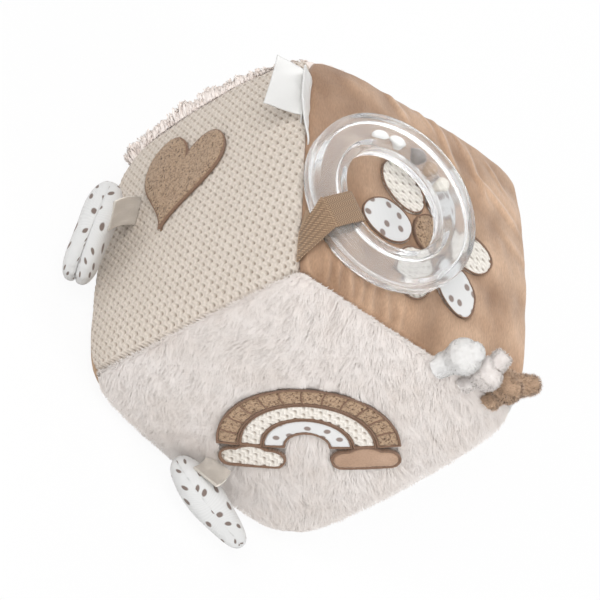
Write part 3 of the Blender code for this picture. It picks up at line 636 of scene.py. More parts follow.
seam_rng = np.random.default_rng(27)
count = 3000
along = seam_rng.uniform(-0.0735, 0.0735, count)
inset = PILE_REACH - 0.0001 - seam_rng.uniform(0, 0.0022, count)
upper = np.arange(count) % 3 > 0
roots = np.where(upper[:, None], np.stack([along, inset], axis=1), np.stack([-inset, along], axis=1))
turns = np.radians(np.where(upper, 48, 160)) + seam_rng.normal(0, 0.55, count)
lengths = seam_rng.uniform(0.0012, 0.0030, count)
lifts = seam_rng.uniform(0.0007, 0.0015, count)
fur_fringe = pile_mesh("fur_fringe", FRONT, roots, turns, lengths, lifts, seam_rng.normal(0, 0.6, count),
                       seam_rng.uniform(0.0003, 0.0005, count), steps=3)
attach(fur_fringe, "block")


def pile_material(name, root_shade, tip, rough=0.75, sheen=0.3):
    """Hairs with painted shade at the root and pale at the tip, a little apart in tone."""
    material, nodes, links, shader = new_material(name, rough, sheen=sheen, sheen_roughness=0.4)
    value = nodes.new("ShaderNodeAttribute")
    value.attribute_name = "tone"
    broad = noise(nodes, links, object_map(nodes), 45, 3.0)
    base = tones(nodes, links, value.outputs["Fac"], ((0.1, root_shade), (0.75, tip)))
    patch = tones(nodes, links, broad, ((0.32, (0.95, 0.935, 0.92)), (0.62, (1, 1, 1))))
    links.new(blended(nodes, links, "MULTIPLY", 1.0, base, patch), shader.inputs["Base Color"])
    return material


off_white_fur = pile_material("off_white_fur", (0.85, 0.785, 0.745), (0.905, 0.855, 0.82))
fur_pile.data.materials.append(off_white_fur)
fur_fringe.data.materials.append(off_white_fur)
ground_knit, nodes, links, shader = new_material("fur_ground_knit", 0.9)
weave = noise(nodes, links, object_map(nodes), 900, 3.0)
links.new(tones(nodes, links, weave, ((0.3, (0.80, 0.74, 0.70)), (0.7, (0.88, 0.83, 0.795)))),
          shader.inputs["Base Color"])
fur_ground.data.materials.append(ground_knit)


# Teddy back panel
# Pale curly teddy cloth, sewn into the back of the block. It is thick and lumpy along the
# knit's edge, where its short curls stand out past the seam.

def teddy_relief(across, up):
    lumps = waves(across, up, 11, 0.0055) * 0.0011 + waves(across, up, 12, 0.013) * 0.0008
    proud = smooth_step(-across, 0.040, 0.066) * smooth_step(-up, -0.050, 0.03)
    return lumps * (1 + proud) - 0.0010 + 0.0042 * proud


teddy_ground = cut_panel("teddy_ground", BACK, 150, teddy_relief)
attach(teddy_ground, "block")
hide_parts("teddy_back_panel")

CURL_SPACING, CURLS_BESIDE_KNIT, TEDDY_TOP = 0.0013, 4200, 0.0660
roots, rng = scattered(41, CURL_SPACING, PILE_REACH)
beside = np.stack([rng.uniform(-PILE_REACH, -0.0610, CURLS_BESIDE_KNIT),
                   rng.uniform(-0.073, 0.0560, CURLS_BESIDE_KNIT)], axis=1)
roots = np.vstack([roots, beside])
roots = roots[roots[:, 1] < TEDDY_TOP]
count = len(roots)
lump = waves(roots[:, 0], roots[:, 1], 11, 0.0055)
turns = rng.uniform(0, math.tau, count)
lengths = rng.uniform(0.0024, 0.0038, count)
lifts = 0.0024 + 0.0008 * lump + rng.uniform(-0.0004, 0.0005, count) + teddy_relief(roots[:, 0], roots[:, 1])
lifts = np.maximum(lifts, 0.0006) * (1 - 0.8 * smooth_step(roots[:, 1], 0.030, 0.056))
curls = rng.choice([-1, 1], count) * rng.uniform(3.0, 6.0, count)
teddy_pile = pile_mesh("teddy_curls", BACK, roots, turns, lengths, lifts, curls,
                       rng.uniform(0.0013, 0.0020, count), steps=6, flat_shaded=True)
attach(teddy_pile, "block")
pale_teddy = pile_material("pale_teddy", (0.89, 0.82, 0.78), (0.93, 0.87, 0.83))
teddy_pile.data.materials.append(pale_teddy)
teddy_weave, nodes, links, shader = new_material("teddy_ground_knit", 0.9)
weave = noise(nodes, links, object_map(nodes), 600, 3.0)
links.new(tones(nodes, links, weave, ((0.3, (0.84, 0.76, 0.71)), (0.7, (0.91, 0.84, 0.79)))),
          shader.inputs["Base Color"])
teddy_ground.data.materials.append(teddy_weave)


# Dotted side panel
# White cotton jersey with printed taupe spots, puckered along its seams. The danglers are
# made of the same cloth.

def jersey_relief(across, up):
    edge = 0.075 - np.maximum(np.abs(across), np.abs(up))
    along = np.where(np.abs(across) > np.abs(up), up, across)
    pucker = np.sin(along * math.tau / 0.0068 + waves(across, up, 14, 0.03) * 2)
    return pucker * 0.00035 * np.exp(-edge / 0.006) + waves(across, up, 13, 0.035) * 0.0008


jersey_panel = cut_panel("jersey_panel", RIGHT, 140, jersey_relief)
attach(jersey_panel, "block")
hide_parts("dotted_side_panel")


def spotted_material(name, white, spot, spacing, size, stretch=(1, 1, 1)):
    """White jersey with printed spots, spacing apart, and the fine ribs of its knit, with painted shade in
    the grooves between the ribs.
    """
    material, nodes, links, shader = new_material(name, 0.85, sheen=0.15)
    source = cloth_map(nodes)
    wander = nodes.new("ShaderNodeMapping")
    wander.inputs["Scale"].default_value = stretch
    cells = nodes.new("ShaderNodeTexVoronoi")
    cells.voronoi_dimensions = "2D"
    cells.inputs["Scale"].default_value = 1 / spacing
    cells.inputs["Randomness"].default_value = 0.6
    links.new(source, wander.inputs["Vector"])
    links.new(wander.outputs["Vector"], cells.inputs["Vector"])
    edge = size / spacing / 2
    mask = nodes.new("ShaderNodeMapRange")
    mask.interpolation_type = "SMOOTHSTEP"
    mask.inputs["From Min"].default_value = edge * 1.2
    mask.inputs["From Max"].default_value = edge * 0.7
    links.new(cells.outputs["Distance"], mask.inputs["Value"])
    ribs = nodes.new("ShaderNodeTexWave")
    ribs.inputs["Scale"].default_value = 420
    ribs.inputs["Distortion"].default_value = 1.5
    links.new(source, ribs.inputs["Vector"])
    # Painted shade in the grooves between the ribs, where the bump also sinks.
    ground = tones(nodes, links, ribs.outputs["Fac"],
                   ((0.0, tuple(value * 0.95 for value in white)), (1.0, white)))
    links.new(blended(nodes, links, "MIX", mask.outputs["Result"], ground, spot), shader.inputs["Base Color"])
    bumped(nodes, links, shader, ribs.outputs["Fac"], 0.00012, 0.5)
    return material


spotted_jersey = spotted_material("spotted_jersey", (0.80, 0.80, 0.79), (0.26, 0.20, 0.175),
                                  spacing=0.0108, size=0.0036, stretch=(1.3, 1, 1))
jersey_panel.data.materials.append(spotted_jersey)


# Base panel
# The same velour as on top, sewn in as the sixth side. The block stands on it, so it is
# pressed flat in the middle.

base_panel = cut_panel("base_panel", UNDER, 110, lambda across, up: waves(across, up, 17, 0.03) * 0.0004)
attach(base_panel, "block")
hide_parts("velour_base_panel")
base_panel.data.materials.append(velour_material("base_tan_velour", (0.44, 0.30, 0.20), (0.52, 0.365, 0.25)))


# Filling
# Loose polyester fibre, stuffed into the sewn cover before its last seam is closed. It
# gives the block its plump shape.

filling_grids = []
for face in (TOP, FRONT, LEFT, BACK, RIGHT, UNDER):
    bpy.ops.object.select_all(action="DESELECT")
    bpy.ops.mesh.primitive_grid_add(x_subdivisions=28, y_subdivisions=28, size=BLOCK)
    side = bpy.context.object
    flat = np.array([vertex.co[:2] for vertex in side.data.vertices])
    side.data.vertices.foreach_set("co", (on_block(face, flat[:, 0], flat[:, 1], -0.0062)).ravel())
    if grid_turn(face) < 0:
        side.data.flip_normals()
    filling_grids.append(side)
bpy.ops.object.select_all(action="DESELECT")
for side in filling_grids:
    side.select_set(True)
bpy.context.view_layer.objects.active = filling_grids[0]
bpy.ops.object.join()
filling = bpy.context.object
filling.name = "fibre_stuffing"
bpy.ops.object.mode_set(mode="EDIT")
bpy.ops.mesh.select_all(action="SELECT")
bpy.ops.mesh.remove_doubles(threshold=0.00005)
bpy.ops.object.mode_set(mode="OBJECT")
bpy.ops.object.shade_smooth()
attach(filling, "block")
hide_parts("fibre_filling")
white_fibre, nodes, links, shader = new_material("white_fibre", 0.9)
tangle = noise(nodes, links, object_map(nodes), 300, 5.0)
links.new(tones(nodes, links, tangle, ((0.3, (0.72, 0.72, 0.70)), (0.7, (0.88, 0.88, 0.86)))),
          shader.inputs["Base Color"])
filling.data.materials.append(white_fibre)


# Heart on the knit side
# A heart cut from curly brown knit and sewn down round its edge with close satin stitches
# in a darker brown thread.

def inside_outline(outline, across, up):
    """Which places lie inside a closed outline, and how far each is from it."""
    start, end = outline, np.roll(outline, -1, axis=0)
    inside = np.zeros(across.shape, bool)
    far = np.full(across.shape, 1.0)
    for (x0, y0), (x1, y1) in zip(start, end):
        if y0 != y1:
            crosses = (y0 > up) != (y1 > up)
            inside ^= crosses & (across < (x1 - x0) * (up - y0) / (y1 - y0) + x0)
        run = np.array((x1 - x0, y1 - y0))
        share = np.clip(((across - x0) * run[0] + (up - y0) * run[1]) / max(run @ run, 1e-12), 0, 1)
        far = np.minimum(far, np.hypot(across - x0 - share * run[0], up - y0 - share * run[1]))
    return inside, far


def spaced_outline(outline, pitch):
    """The same closed outline with points an even pitch apart."""
    closed = np.vstack([outline, outline[:1]])
    run = np.concatenate([[0], np.cumsum(np.hypot(*np.diff(closed, axis=0).T))])
    count = max(int(run[-1] / pitch), 8)
    at = np.linspace(0, run[-1], count, endpoint=False)
    return np.stack([np.interp(at, run, closed[:, 0]), np.interp(at, run, closed[:, 1])], axis=1)


def moved_outline(points, turn, across, up):
    points = np.asarray(points, float)
    return np.stack([across + points[:, 0] * math.cos(turn) - points[:, 1] * math.sin(turn),
                     up + points[:, 0] * math.sin(turn) + points[:, 1] * math.cos(turn)], axis=1)


def give_thickness(piece, thickness, offset):
    wall = piece.modifiers.new("cloth_thickness", "SOLIDIFY")
    wall.thickness = thickness
    wall.offset = offset
    bpy.ops.object.modifier_apply(modifier="cloth_thickness")
    bpy.ops.object.shade_smooth()


def cloth_shape(name, face, outline, base, loft, relief, pitch=0.0009):
    """A cloth shape laid on a face: filled with small faces, rounded down at its cut edge."""
    border = spaced_outline(outline, pitch)
    low, high = border.min(axis=0), border.max(axis=0)
    across, up = np.meshgrid(np.arange(low[0], high[0], pitch), np.arange(low[1], high[1], pitch * 0.88))
    across[1::2] += pitch / 2
    across, up = across.ravel(), up.ravel()
    inside, far = inside_outline(border, across, up)
    keep = inside & (far > pitch * 0.55)
    within = np.stack([across[keep], up[keep]], axis=1)
    places = [Vector(place) for place in np.vstack([border, within])]
    rim = [(index, (index + 1) % len(border)) for index in range(len(border))]
    flat, _, faces = geometry.delaunay_2d_cdt(places, rim, [], 1, 1e-7)[:3]
    flat = np.array([tuple(place) for place in flat])
    _, far = inside_outline(border, flat[:, 0], flat[:, 1])
    crown = np.sqrt(np.maximum(1 - (1 - np.clip(far / 0.0014, 0, 1)) ** 2, 0))
    height = base(flat[:, 0], flat[:, 1]) + loft * crown + relief(flat[:, 0], flat[:, 1]) * crown
    points = on_block(face, flat[:, 0], flat[:, 1], height)
    mesh = bpy.data.meshes.new(name)
    mesh.from_pydata(points.tolist(), [], [list(corner) for corner in faces])
    piece = placed(name, mesh)
    mesh.update()
    axis, side = face[0], face[1]
    normal = sum((polygon.normal * polygon.area for polygon in mesh.polygons), Vector())
    if normal[axis] * side < 0:
        mesh.flip_normals()
    keep_cloth_map(mesh, flat)
    give_thickness(piece, loft * 0.8, -1)
    return piece


def face_outwards():
    """Turns the faces of the selected piece outwards and smooths it."""
    bpy.ops.object.mode_set(mode="EDIT")
    bpy.ops.mesh.select_all(action="SELECT")
    bpy.ops.mesh.normals_make_consistent(inside=False)
    bpy.ops.object.mode_set(mode="OBJECT")
    bpy.ops.object.shade_smooth()


STITCH_PITCH = 0.00042


def stitched_edge(name, face, outline, base, width, height, radius, seed=1, closed=True):
    """Satin stitches side by side over an outline, each an arched thread across it."""
    line = spaced_outline(outline, STITCH_PITCH) if closed else outline
    before, after = np.roll(line, 1, axis=0), np.roll(line, -1, axis=0)
    if not closed:
        before[0], after[-1] = line[0], line[-1]
    run = after - before
    run /= np.maximum(np.hypot(run[:, 0], run[:, 1]), 1e-9)[:, None]
    side = np.stack([run[:, 1], -run[:, 0]], axis=1)
    rng = np.random.default_rng(seed)
    count, steps = len(line), 5
    share = np.linspace(-0.5, 0.5, steps)
    reach = width * (1 + rng.uniform(-0.09, 0.09, count))
    slant = STITCH_PITCH * rng.uniform(0.2, 0.9, count)
    flat = line[:, None] + side[:, None] * (share[None, :, None] * reach[:, None, None])
    flat += run[:, None] * (share[None, :, None] * slant[:, None, None])
    arch = np.sqrt(np.maximum(1 - (2 * share) ** 2, 0))
    lift = base(flat[..., 0], flat[..., 1]) + height * arch[None]
    lift += rng.uniform(-0.00006, 0.00006, (count, 1))
    spine = on_block(face, flat[..., 0], flat[..., 1], lift)
    out = facing(face, flat[..., 0], flat[..., 1])
    next_place = flat + run[:, None] * 0.0005
    ahead = on_block(face, next_place[..., 0], next_place[..., 1], lift) - spine
    ahead /= np.linalg.norm(ahead, axis=-1, keepdims=True)
    thin = np.where(np.abs(share) > 0.45, 0.45, 1.0)[None, :, None, None]
    ring = np.stack([ahead, out, -ahead, -out], axis=2) * radius * thin
    points = (spine[:, :, None] + ring).reshape(-1, 3)
    stitch = []
    for step in range(steps - 1):
        for corner in range(4):
            low, high = step * 4, step * 4 + 4
            stitch.append((low + corner, low + (corner + 1) % 4, high + (corner + 1) % 4, high + corner))
    stitch += [(3, 2, 1, 0), tuple(steps * 4 - 4 + corner for corner in range(4))]
    faces = (np.array(stitch)[None] + (np.arange(count) * steps * 4)[:, None, None]).reshape(-1, 4)
    mesh = bpy.data.meshes.new(name)
    mesh.from_pydata(points.tolist(), [], faces.tolist())
    piece = placed(name, mesh)
    face_outwards()
    return piece


def boucle_relief(across, up):
    return waves(across, up, 23, 0.0017, 40) * 0.00022


def over_knit(across, up):
    return waves(across, up, 5, 0.045) * 0.0006 + 0.0003


HEART_WIDTH, HEART_HEIGHT = 0.064, 0.060
HEART_TURN, HEART_PLACE = math.radians(-72), (0.0235, -0.0092)
steps = np.linspace(0, math.tau, 120, endpoint=False)
heart_up = 13 * np.cos(steps) - 5 * np.cos(2 * steps) - 2 * np.cos(3 * steps) - np.cos(4 * steps)
heart = np.stack([np.sin(steps) ** 3 * HEART_WIDTH / 2, heart_up / 29 * HEART_HEIGHT], axis=1)
heart_line = moved_outline(heart * 0.985, HEART_TURN, *HEART_PLACE)
heart_cloth = cloth_shape("heart_cloth", LEFT, heart_line, over_knit, 0.0016, boucle_relief, 0.0008)
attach(heart_cloth, "block")
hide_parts("heart_patch")
heart_line = moved_outline(heart * 0.965, HEART_TURN, *HEART_PLACE)
heart_edge = stitched_edge("heart_edge", LEFT, heart_line, over_knit, 0.0017, 0.0013, 0.00025)
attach(heart_edge, "block")


def boucle_material(name, loops, hollow_shade, spacing=0.00085):
    """Curly knitted yarn: pale loops with painted shade down their sides and in the hollows between them."""
    material, nodes, links, shader = new_material(name, 0.92, sheen=0.2)
    source = object_map(nodes)
    cells = nodes.new("ShaderNodeTexVoronoi")
    cells.feature = "F1"
    cells.inputs["Scale"].default_value = 1 / spacing
    warp = blended(nodes, links, "LINEAR_LIGHT", 0.0012, source, (0.5, 0.5, 0.5))
    swirl = nodes.new("ShaderNodeTexNoise")
    swirl.inputs["Scale"].default_value = 700
    links.new(source, swirl.inputs["Vector"])
    links.new(swirl.outputs["Color"], warp.node.inputs[7])
    links.new(warp, cells.inputs["Vector"])
    fleck = noise(nodes, links, source, 520, 3.0)
    # Painted shade down the sides of each loop and in the hollows between the loops.
    loop_side_shade = tuple(value * 0.80 for value in loops)
    base = tones(nodes, links, cells.outputs["Distance"], ((0.10, loops), (0.62, loop_side_shade), (0.80, hollow_shade)))
    specks = tones(nodes, links, fleck, ((0.36, (0.62, 0.58, 0.55)), (0.50, (1, 1, 1))))
    links.new(blended(nodes, links, "MULTIPLY", 0.85, base, specks), shader.inputs["Base Color"])
    height = plain_number(nodes, links, "SUBTRACT", fleck, cells.outputs["Distance"])
    bumped(nodes, links, shader, height, 0.0004, 0.8)
    return material


def thread_material(name, colour):
    """Close-laid embroidery thread with a low shine."""
    material, nodes, links, shader = new_material(name, 0.55, sheen=0.2)
    tint = noise(nodes, links, object_map(nodes), 800, 2.0)
    links.new(tones(nodes, links, tint, ((0.3, tuple(value * 0.82 for value in colour)), (0.7, colour))),
              shader.inputs["Base Color"])
    return material


brown_boucle = boucle_material("brown_curly_knit", (0.50, 0.345, 0.225), (0.13, 0.075, 0.04))
brown_thread = thread_material("brown_thread", (0.265, 0.16, 0.105))
heart_cloth.data.materials.append(brown_boucle)
heart_edge.data.materials.append(brown_thread)


# Flower on the velour top
# Six petals, of openwork knit and spotted jersey in turn, round a curly brown middle, each
# sewn down with a fine satin stitch.

def over_velour(across, up):
    return velour_relief(across, up) + 0.0003


def flatter_knit(across, up):
    return knit_relief(across, up) * 0.5


def smooth_relief(across, up):
    return waves(across, up, 19, 0.02) * 0.0002


FLOWER_PLACE = (-0.003, -0.015)
PETAL_OUT, PETAL_HALF_LENGTH, PETAL_HALF_WIDTH, STITCH_INSET = 0.0275, 0.0155, 0.0120, 0.0007
petal_steps = np.linspace(0, math.tau, 64, endpoint=False)
petal_knit = knit_material("petal_knit", (0.98, 0.945, 0.885), (0.94, 0.90, 0.835), (0.34, 0.28, 0.225))
petal_jersey = spotted_material("petal_jersey", (0.76, 0.76, 0.755), (0.27, 0.21, 0.185),
                                spacing=0.0088, size=0.0036)
for index in range(6):
    knitted = index % 2 == 0
    turn = math.radians(12 + 60 * index)
    petal, inner = (np.stack([PETAL_OUT + (PETAL_HALF_LENGTH - inset) * np.cos(petal_steps),
                              (PETAL_HALF_WIDTH - inset) * np.sin(petal_steps)], axis=1)
                    for inset in (0, STITCH_INSET))
    kind = "knit" if knitted else "dotted"
    relief = flatter_knit if knitted else smooth_relief
    petal_line = moved_outline(petal * 0.99, turn, *FLOWER_PLACE)
    petal_cloth = cloth_shape(f"petal_{kind}_{index // 2 + 1}", TOP, petal_line, over_velour,
                              0.0009, relief, 0.0008)
    petal_line = moved_outline(inner, turn, *FLOWER_PLACE)
    petal_edge = stitched_edge(f"petal_edge_{index + 1}", TOP, petal_line, over_velour,
                               0.0011, 0.0011, 0.00023, seed=60 + index)
    for piece in (petal_cloth, petal_edge):
        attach(piece, "block")
    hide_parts(f"flower_petal_{kind}_{index // 2 + 1}")
    petal_cloth.data.materials.append(petal_knit if knitted else petal_jersey)
    petal_edge.data.materials.append(brown_thread)
middle = np.stack([np.cos(petal_steps), np.sin(petal_steps)], axis=1)
middle_line = moved_outline(middle * 0.0113, 0, *FLOWER_PLACE)
flower_middle = cloth_shape("flower_middle_cloth", TOP, middle_line, over_velour,
                            0.0011, boucle_relief, 0.0007)
middle_line = moved_outline(middle * 0.0109, 0, *FLOWER_PLACE)
middle_edge = stitched_edge("flower_middle_edge", TOP, middle_line, over_velour, 0.0012,
                            0.0013, 0.00023, seed=70)
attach(flower_middle, "block")
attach(middle_edge, "block")
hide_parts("flower_middle")
flower_middle.data.materials.append(brown_boucle)
middle_edge.data.materials.append(brown_thread)


# Rainbow on the fur front
# Three arched bands, of brown knit with sewn ribs, openwork knit and spotted jersey, and a
# cloud at each foot. Their edges are sewn down through the fur.

def over_fur(across, up):
    return np.zeros_like(across) + 0.0006


def over_rainbow(across, up):
    return over_fur(across, up) + 0.0006


def arched(radius, inner, count=70):
    steps = np.linspace(0, math.pi, count)
    outer_line = np.stack([radius * np.cos(steps), radius * np.sin(steps)], axis=1)
    inner_line = np.stack([inner * np.cos(steps[::-1]), inner * np.sin(steps[::-1])], axis=1)
    return np.vstack([outer_line, inner_line])


def sewn_on_fur(name, node, points, relief, material, edge=0.0015, seed=80):
    """One cloth of the rainbow with its stitched border, sewn down through the fur."""
    line = moved_outline(points, RAINBOW_LEAN, *RAINBOW_PLACE)
    cloth = cloth_shape(name, FRONT, line, over_fur, 0.0012, relief, 0.0008)
    border = stitched_edge(name + "_edge", FRONT, line, over_fur, edge, 0.0015, 0.00025,
                           seed=seed)
    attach(cloth, "block")
    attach(border, "block")
    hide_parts(node)
    cloth.data.materials.append(material)
    border.data.materials.append(brown_thread)


rib_knit = boucle_material("brown_rib_knit", (0.52, 0.355, 0.23), (0.15, 0.085, 0.045), 0.0010)
fur_knit = knit_material("cloud_knit", (0.98, 0.935, 0.87), (0.94, 0.89, 0.82), (0.34, 0.28, 0.225))
fur_jersey = spotted_material("rainbow_jersey", (0.76, 0.76, 0.755), (0.27, 0.21, 0.185),
                               spacing=0.0085, size=0.0034)
sewn_on_fur("rainbow_outer", "rainbow_outer_band", arched(0.0427, 0.0328), boucle_relief,
            rib_knit, seed=81)
sewn_on_fur("rainbow_middle", "rainbow_middle_band", arched(0.0317, 0.0218), flatter_knit, fur_knit,
            edge=0.0014, seed=82)
sewn_on_fur("rainbow_inner", "rainbow_inner_band", arched(0.0207, 0.0108), smooth_relief,
            fur_jersey, edge=0.0014, seed=83)
ribs = []
for step in range(1, 12):
    angle = math.pi * step / 12
    reach = np.linspace(0.0337, 0.0418, 20)
    bend = angle + 0.016 * np.sin((reach - 0.0337) / 0.0081 * math.pi)
    ribs.append(np.stack([reach * np.cos(bend), reach * np.sin(bend)], axis=1))
for index, rib in enumerate(ribs):
    line = moved_outline(rib, RAINBOW_LEAN, *RAINBOW_PLACE)
    stitch = stitched_edge(f"rainbow_rib_{index + 1}", FRONT, line, over_rainbow, 0.0011,
                           0.0010, 0.00025, seed=90 + index, closed=False)
    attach(stitch, "block")
    stitch.data.materials.append(brown_thread)


def cloud_line(side):
    angles = np.linspace(0, math.tau, 90, endpoint=False) + 0.01
    reach = np.zeros(90)
    for centre, radius in ((0, 0.0100), (0.0088, 0.0068), (-0.0088, 0.0068)):
        off = np.abs(centre * np.sin(angles))
        hit = off < radius
        edge = centre * np.cos(angles) + np.sqrt(np.maximum(radius ** 2 - off ** 2, 0))
        reach = np.where(hit, np.maximum(reach, edge), reach)
    below = np.sin(angles) < 0
    reach = np.where(below, np.minimum(reach, -0.0060 / np.minimum(np.sin(angles), -1e-6)), reach)
    return np.stack([reach * np.cos(angles) - side * 0.02675, reach * np.sin(angles) - 0.0105], axis=1)


sewn_on_fur("cloud_knit_cloth", "cloud_cream", cloud_line(1), flatter_knit, fur_knit,
            edge=0.0016, seed=84)
sewn_on_fur("cloud_velour_cloth", "cloud_brown", cloud_line(-1), smooth_relief, velour,
            edge=0.0016, seed=85)


# Rattle ring
# Two clear moulded half shells, welded round their rims, with an open channel between them
# for the beads. The outside is rounded for a baby's mouth.

SHELL_OUT, SHELL_IN, SHELL_TOP, SHELL_ROUND = 0.0454, 0.0268, 0.0064, 0.0036
CHANNEL_OUT, CHANNEL_IN, CHANNEL_TOP, CHANNEL_ROUND = 0.0416, 0.0306, 0.0046, 0.0020
CHANNEL_DRAFT, CHANNEL_LIP, RIM_GAP = 0.0006, 0.0012, 0.0001
ring_centre = Vector((-0.0391, -0.0223, 0.1693))
lean_azimuth = math.radians(-160.6)
ring_turn = Matrix.Rotation(math.radians(14.9), 3,
                            Vector((-math.sin(lean_azimuth), math.cos(lean_azimuth), 0)))
ring_frame = Matrix.Translation(ring_centre) @ ring_turn.to_4x4()


def quarter(centre_x, centre_z, radius, start, end, steps):
    """Points of a round corner, from one angle in degrees to another."""
    turns = [math.radians(start + (end - start) * step / steps) for step in range(steps + 1)]
    return [(centre_x + radius * math.cos(turn), centre_z + radius * math.sin(turn)) for turn in turns]


def spun(name, profile, frame_matrix, steps):
    """A closed section turned once round its frame's own axis."""
    mesh = bpy.data.meshes.new(name)
    mesh.from_pydata([(x, 0, z) for x, z in profile],
                     [(index, (index + 1) % len(profile)) for index in range(len(profile))], [])
    piece = placed(name, mesh)
    bpy.ops.object.mode_set(mode="EDIT")
    bpy.ops.mesh.select_all(action="SELECT")
    bpy.ops.mesh.spin(steps=steps, angle=math.tau, center=(0, 0, 0), axis=(0, 0, 1))
    bpy.ops.mesh.select_all(action="SELECT")
    bpy.ops.mesh.remove_doubles(threshold=0.000005)
    bpy.ops.mesh.normals_make_consistent(inside=False)
    bpy.ops.object.mode_set(mode="OBJECT")
    piece.data.transform(frame_matrix)
    bpy.ops.object.shade_smooth_by_angle(angle=math.radians(35))
    return piece


shell_line = [(SHELL_OUT, RIM_GAP)]
shell_line += quarter(SHELL_OUT - SHELL_ROUND, SHELL_TOP - SHELL_ROUND, SHELL_ROUND, 0, 90, 8)
shell_line += quarter(SHELL_IN + SHELL_ROUND, SHELL_TOP - SHELL_ROUND, SHELL_ROUND, 90, 180, 8)
shell_line += [(SHELL_IN, RIM_GAP), (CHANNEL_IN, RIM_GAP), (CHANNEL_IN, CHANNEL_LIP)]
shell_line += quarter(CHANNEL_IN + CHANNEL_DRAFT + CHANNEL_ROUND, CHANNEL_TOP - CHANNEL_ROUND, CHANNEL_ROUND,
                      180, 90, 5)
shell_line += quarter(CHANNEL_OUT - CHANNEL_DRAFT - CHANNEL_ROUND, CHANNEL_TOP - CHANNEL_ROUND,
                      CHANNEL_ROUND, 90, 0, 5)
shell_line += [(CHANNEL_OUT, CHANNEL_LIP), (CHANNEL_OUT, RIM_GAP)]
clear_plastic = bpy.data.materials.new("clear_moulded_plastic")
clear_plastic.use_nodes = True
shader = clear_plastic.node_tree.nodes["Principled BSDF"]
shader.inputs["Base Color"].default_value = (0.97, 0.975, 0.98, 1)
shader.inputs["Roughness"].default_value = 0.165
shader.inputs["IOR"].default_value = 1.19
shader.inputs["Transmission Weight"].default_value = 0.95
shader.inputs["Coat Weight"].default_value = 0.3
shader.inputs["Coat Roughness"].default_value = 0.06
scuff = noise(clear_plastic.node_tree.nodes, clear_plastic.node_tree.links,
              object_map(clear_plastic.node_tree.nodes), 90, 3.0)
bumped(clear_plastic.node_tree.nodes, clear_plastic.node_tree.links, shader, scuff, 0.0001, 0.05)
for half, name in ((1, "ring_upper_shell"), (-1, "ring_lower_shell")):
    shell = spun(name.replace("shell", "moulding"), [(x, z * half) for x, z in shell_line], ring_frame, 144)
    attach(shell, "rattle_ring")
    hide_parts(name)
    shell.data.materials.append(clear_plastic)


# Beads
# Small moulded beads loose in the ring's channel: two white beans, a grey cone, a brown and
# a cream ball. They are thrown to the upper side, as in the photograph.

def moulded_material(name, colour, roughness):
    """Opaque moulded plastic with a faint flow in its colour."""
    material = bpy.data.materials.new(name)
    material.use_nodes = True
    nodes, links = material.node_tree.nodes, material.node_tree.links
    shader = nodes["Principled BSDF"]
    shader.inputs["Roughness"].default_value = roughness
    flow = noise(nodes, links, object_map(nodes), 260, 3.0)
    links.new(tones(nodes, links, flow, ((0.3, tuple(value * 0.92 for value in colour)), (0.7, colour))),
              shader.inputs["Base Color"])
    bumped(nodes, links, shader, flow, 0.0001, 0.2)
    return material


BEAD_REACH, BEAD_GAP = (SHELL_OUT + SHELL_IN) / 2, 0.0003
for name, node, slot_name, angle, size, colour in (
        ("white_bean_1", "bead_white_1", "white_bead", 106, (0.0031, 0.0045, 0.0031), (0.88, 0.88, 0.86)),
        ("white_bean_2", "bead_white_2", "white_bead", 91, (0.0031, 0.0045, 0.0031), (0.88, 0.88, 0.86)),
        ("grey_cone", "bead_grey", "grey_bead", 72, (0.0036, 0.0047, 0.0036), (0.20, 0.165, 0.145)),
        ("brown_ball", "bead_brown", "brown_bead", 58, (0.0036, 0.0036, 0.0036), (0.42, 0.27, 0.16)),
        ("cream_ball", "bead_cream", "cream_bead", 43, (0.0036, 0.0036, 0.0036), (0.82, 0.77, 0.68))):
    bpy.ops.object.select_all(action="DESELECT")
    bpy.ops.mesh.primitive_uv_sphere_add(segments=32, ring_count=20, radius=1)
    bead = bpy.context.object
    bead.name = name
    for vertex in bead.data.vertices:
        narrow = 1 - 0.35 * max(vertex.co.y, 0) if name == "grey_cone" else 1
        vertex.co = Vector((vertex.co.x * size[0] * narrow, vertex.co.y * size[1],
                            vertex.co.z * size[2] * narrow))
    turn = math.radians(angle)
    place = Vector((BEAD_REACH * math.cos(turn), BEAD_REACH * math.sin(turn),
                    size[2] - CHANNEL_TOP + BEAD_GAP))
    bead.data.transform(ring_frame @ Matrix.Translation(place) @ Matrix.Rotation(turn, 4, "Z"))
    bpy.ops.object.shade_smooth()
    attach(bead, "loose_beads")
    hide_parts(node)
    bead.data.materials.append(moulded_material(name + "_plastic", colour, 0.3))


# Ring tape
# A brown herringbone tape, 15 mm wide, passed round the ring with both its ends sewn into
# the seam between the velour and the knit.

TAPE_WIDTH = 0.015
TAPE_HALF = TAPE_WIDTH / 2


def smooth_line(points, count):
    """Even points along a smooth curve through the given ones."""
    points = np.array([list(point) for point in points], float)
    padded_points = np.vstack([2 * points[0] - points[1], points, 2 * points[-1] - points[-2]])
    dense = []
    for index in range(1, len(padded_points) - 2):
        p0, p1, p2, p3 = padded_points[index - 1:index + 3]
        for step in np.linspace(0, 1, 16, endpoint=False):
            curve = (2 * p0 - 5 * p1 + 4 * p2 - p3) * step ** 2 + (3 * p1 - p0 - 3 * p2 + p3) * step ** 3
            dense.append(0.5 * (2 * p1 + (p2 - p0) * step + curve))
    dense.append(points[-1])
    dense = np.array(dense)
    run = np.concatenate([[0], np.cumsum(np.linalg.norm(np.diff(dense, axis=0), axis=1))])
    at = np.linspace(0, run[-1], count)
    return np.stack([np.interp(at, run, dense[:, axis]) for axis in range(dense.shape[1])], axis=1)


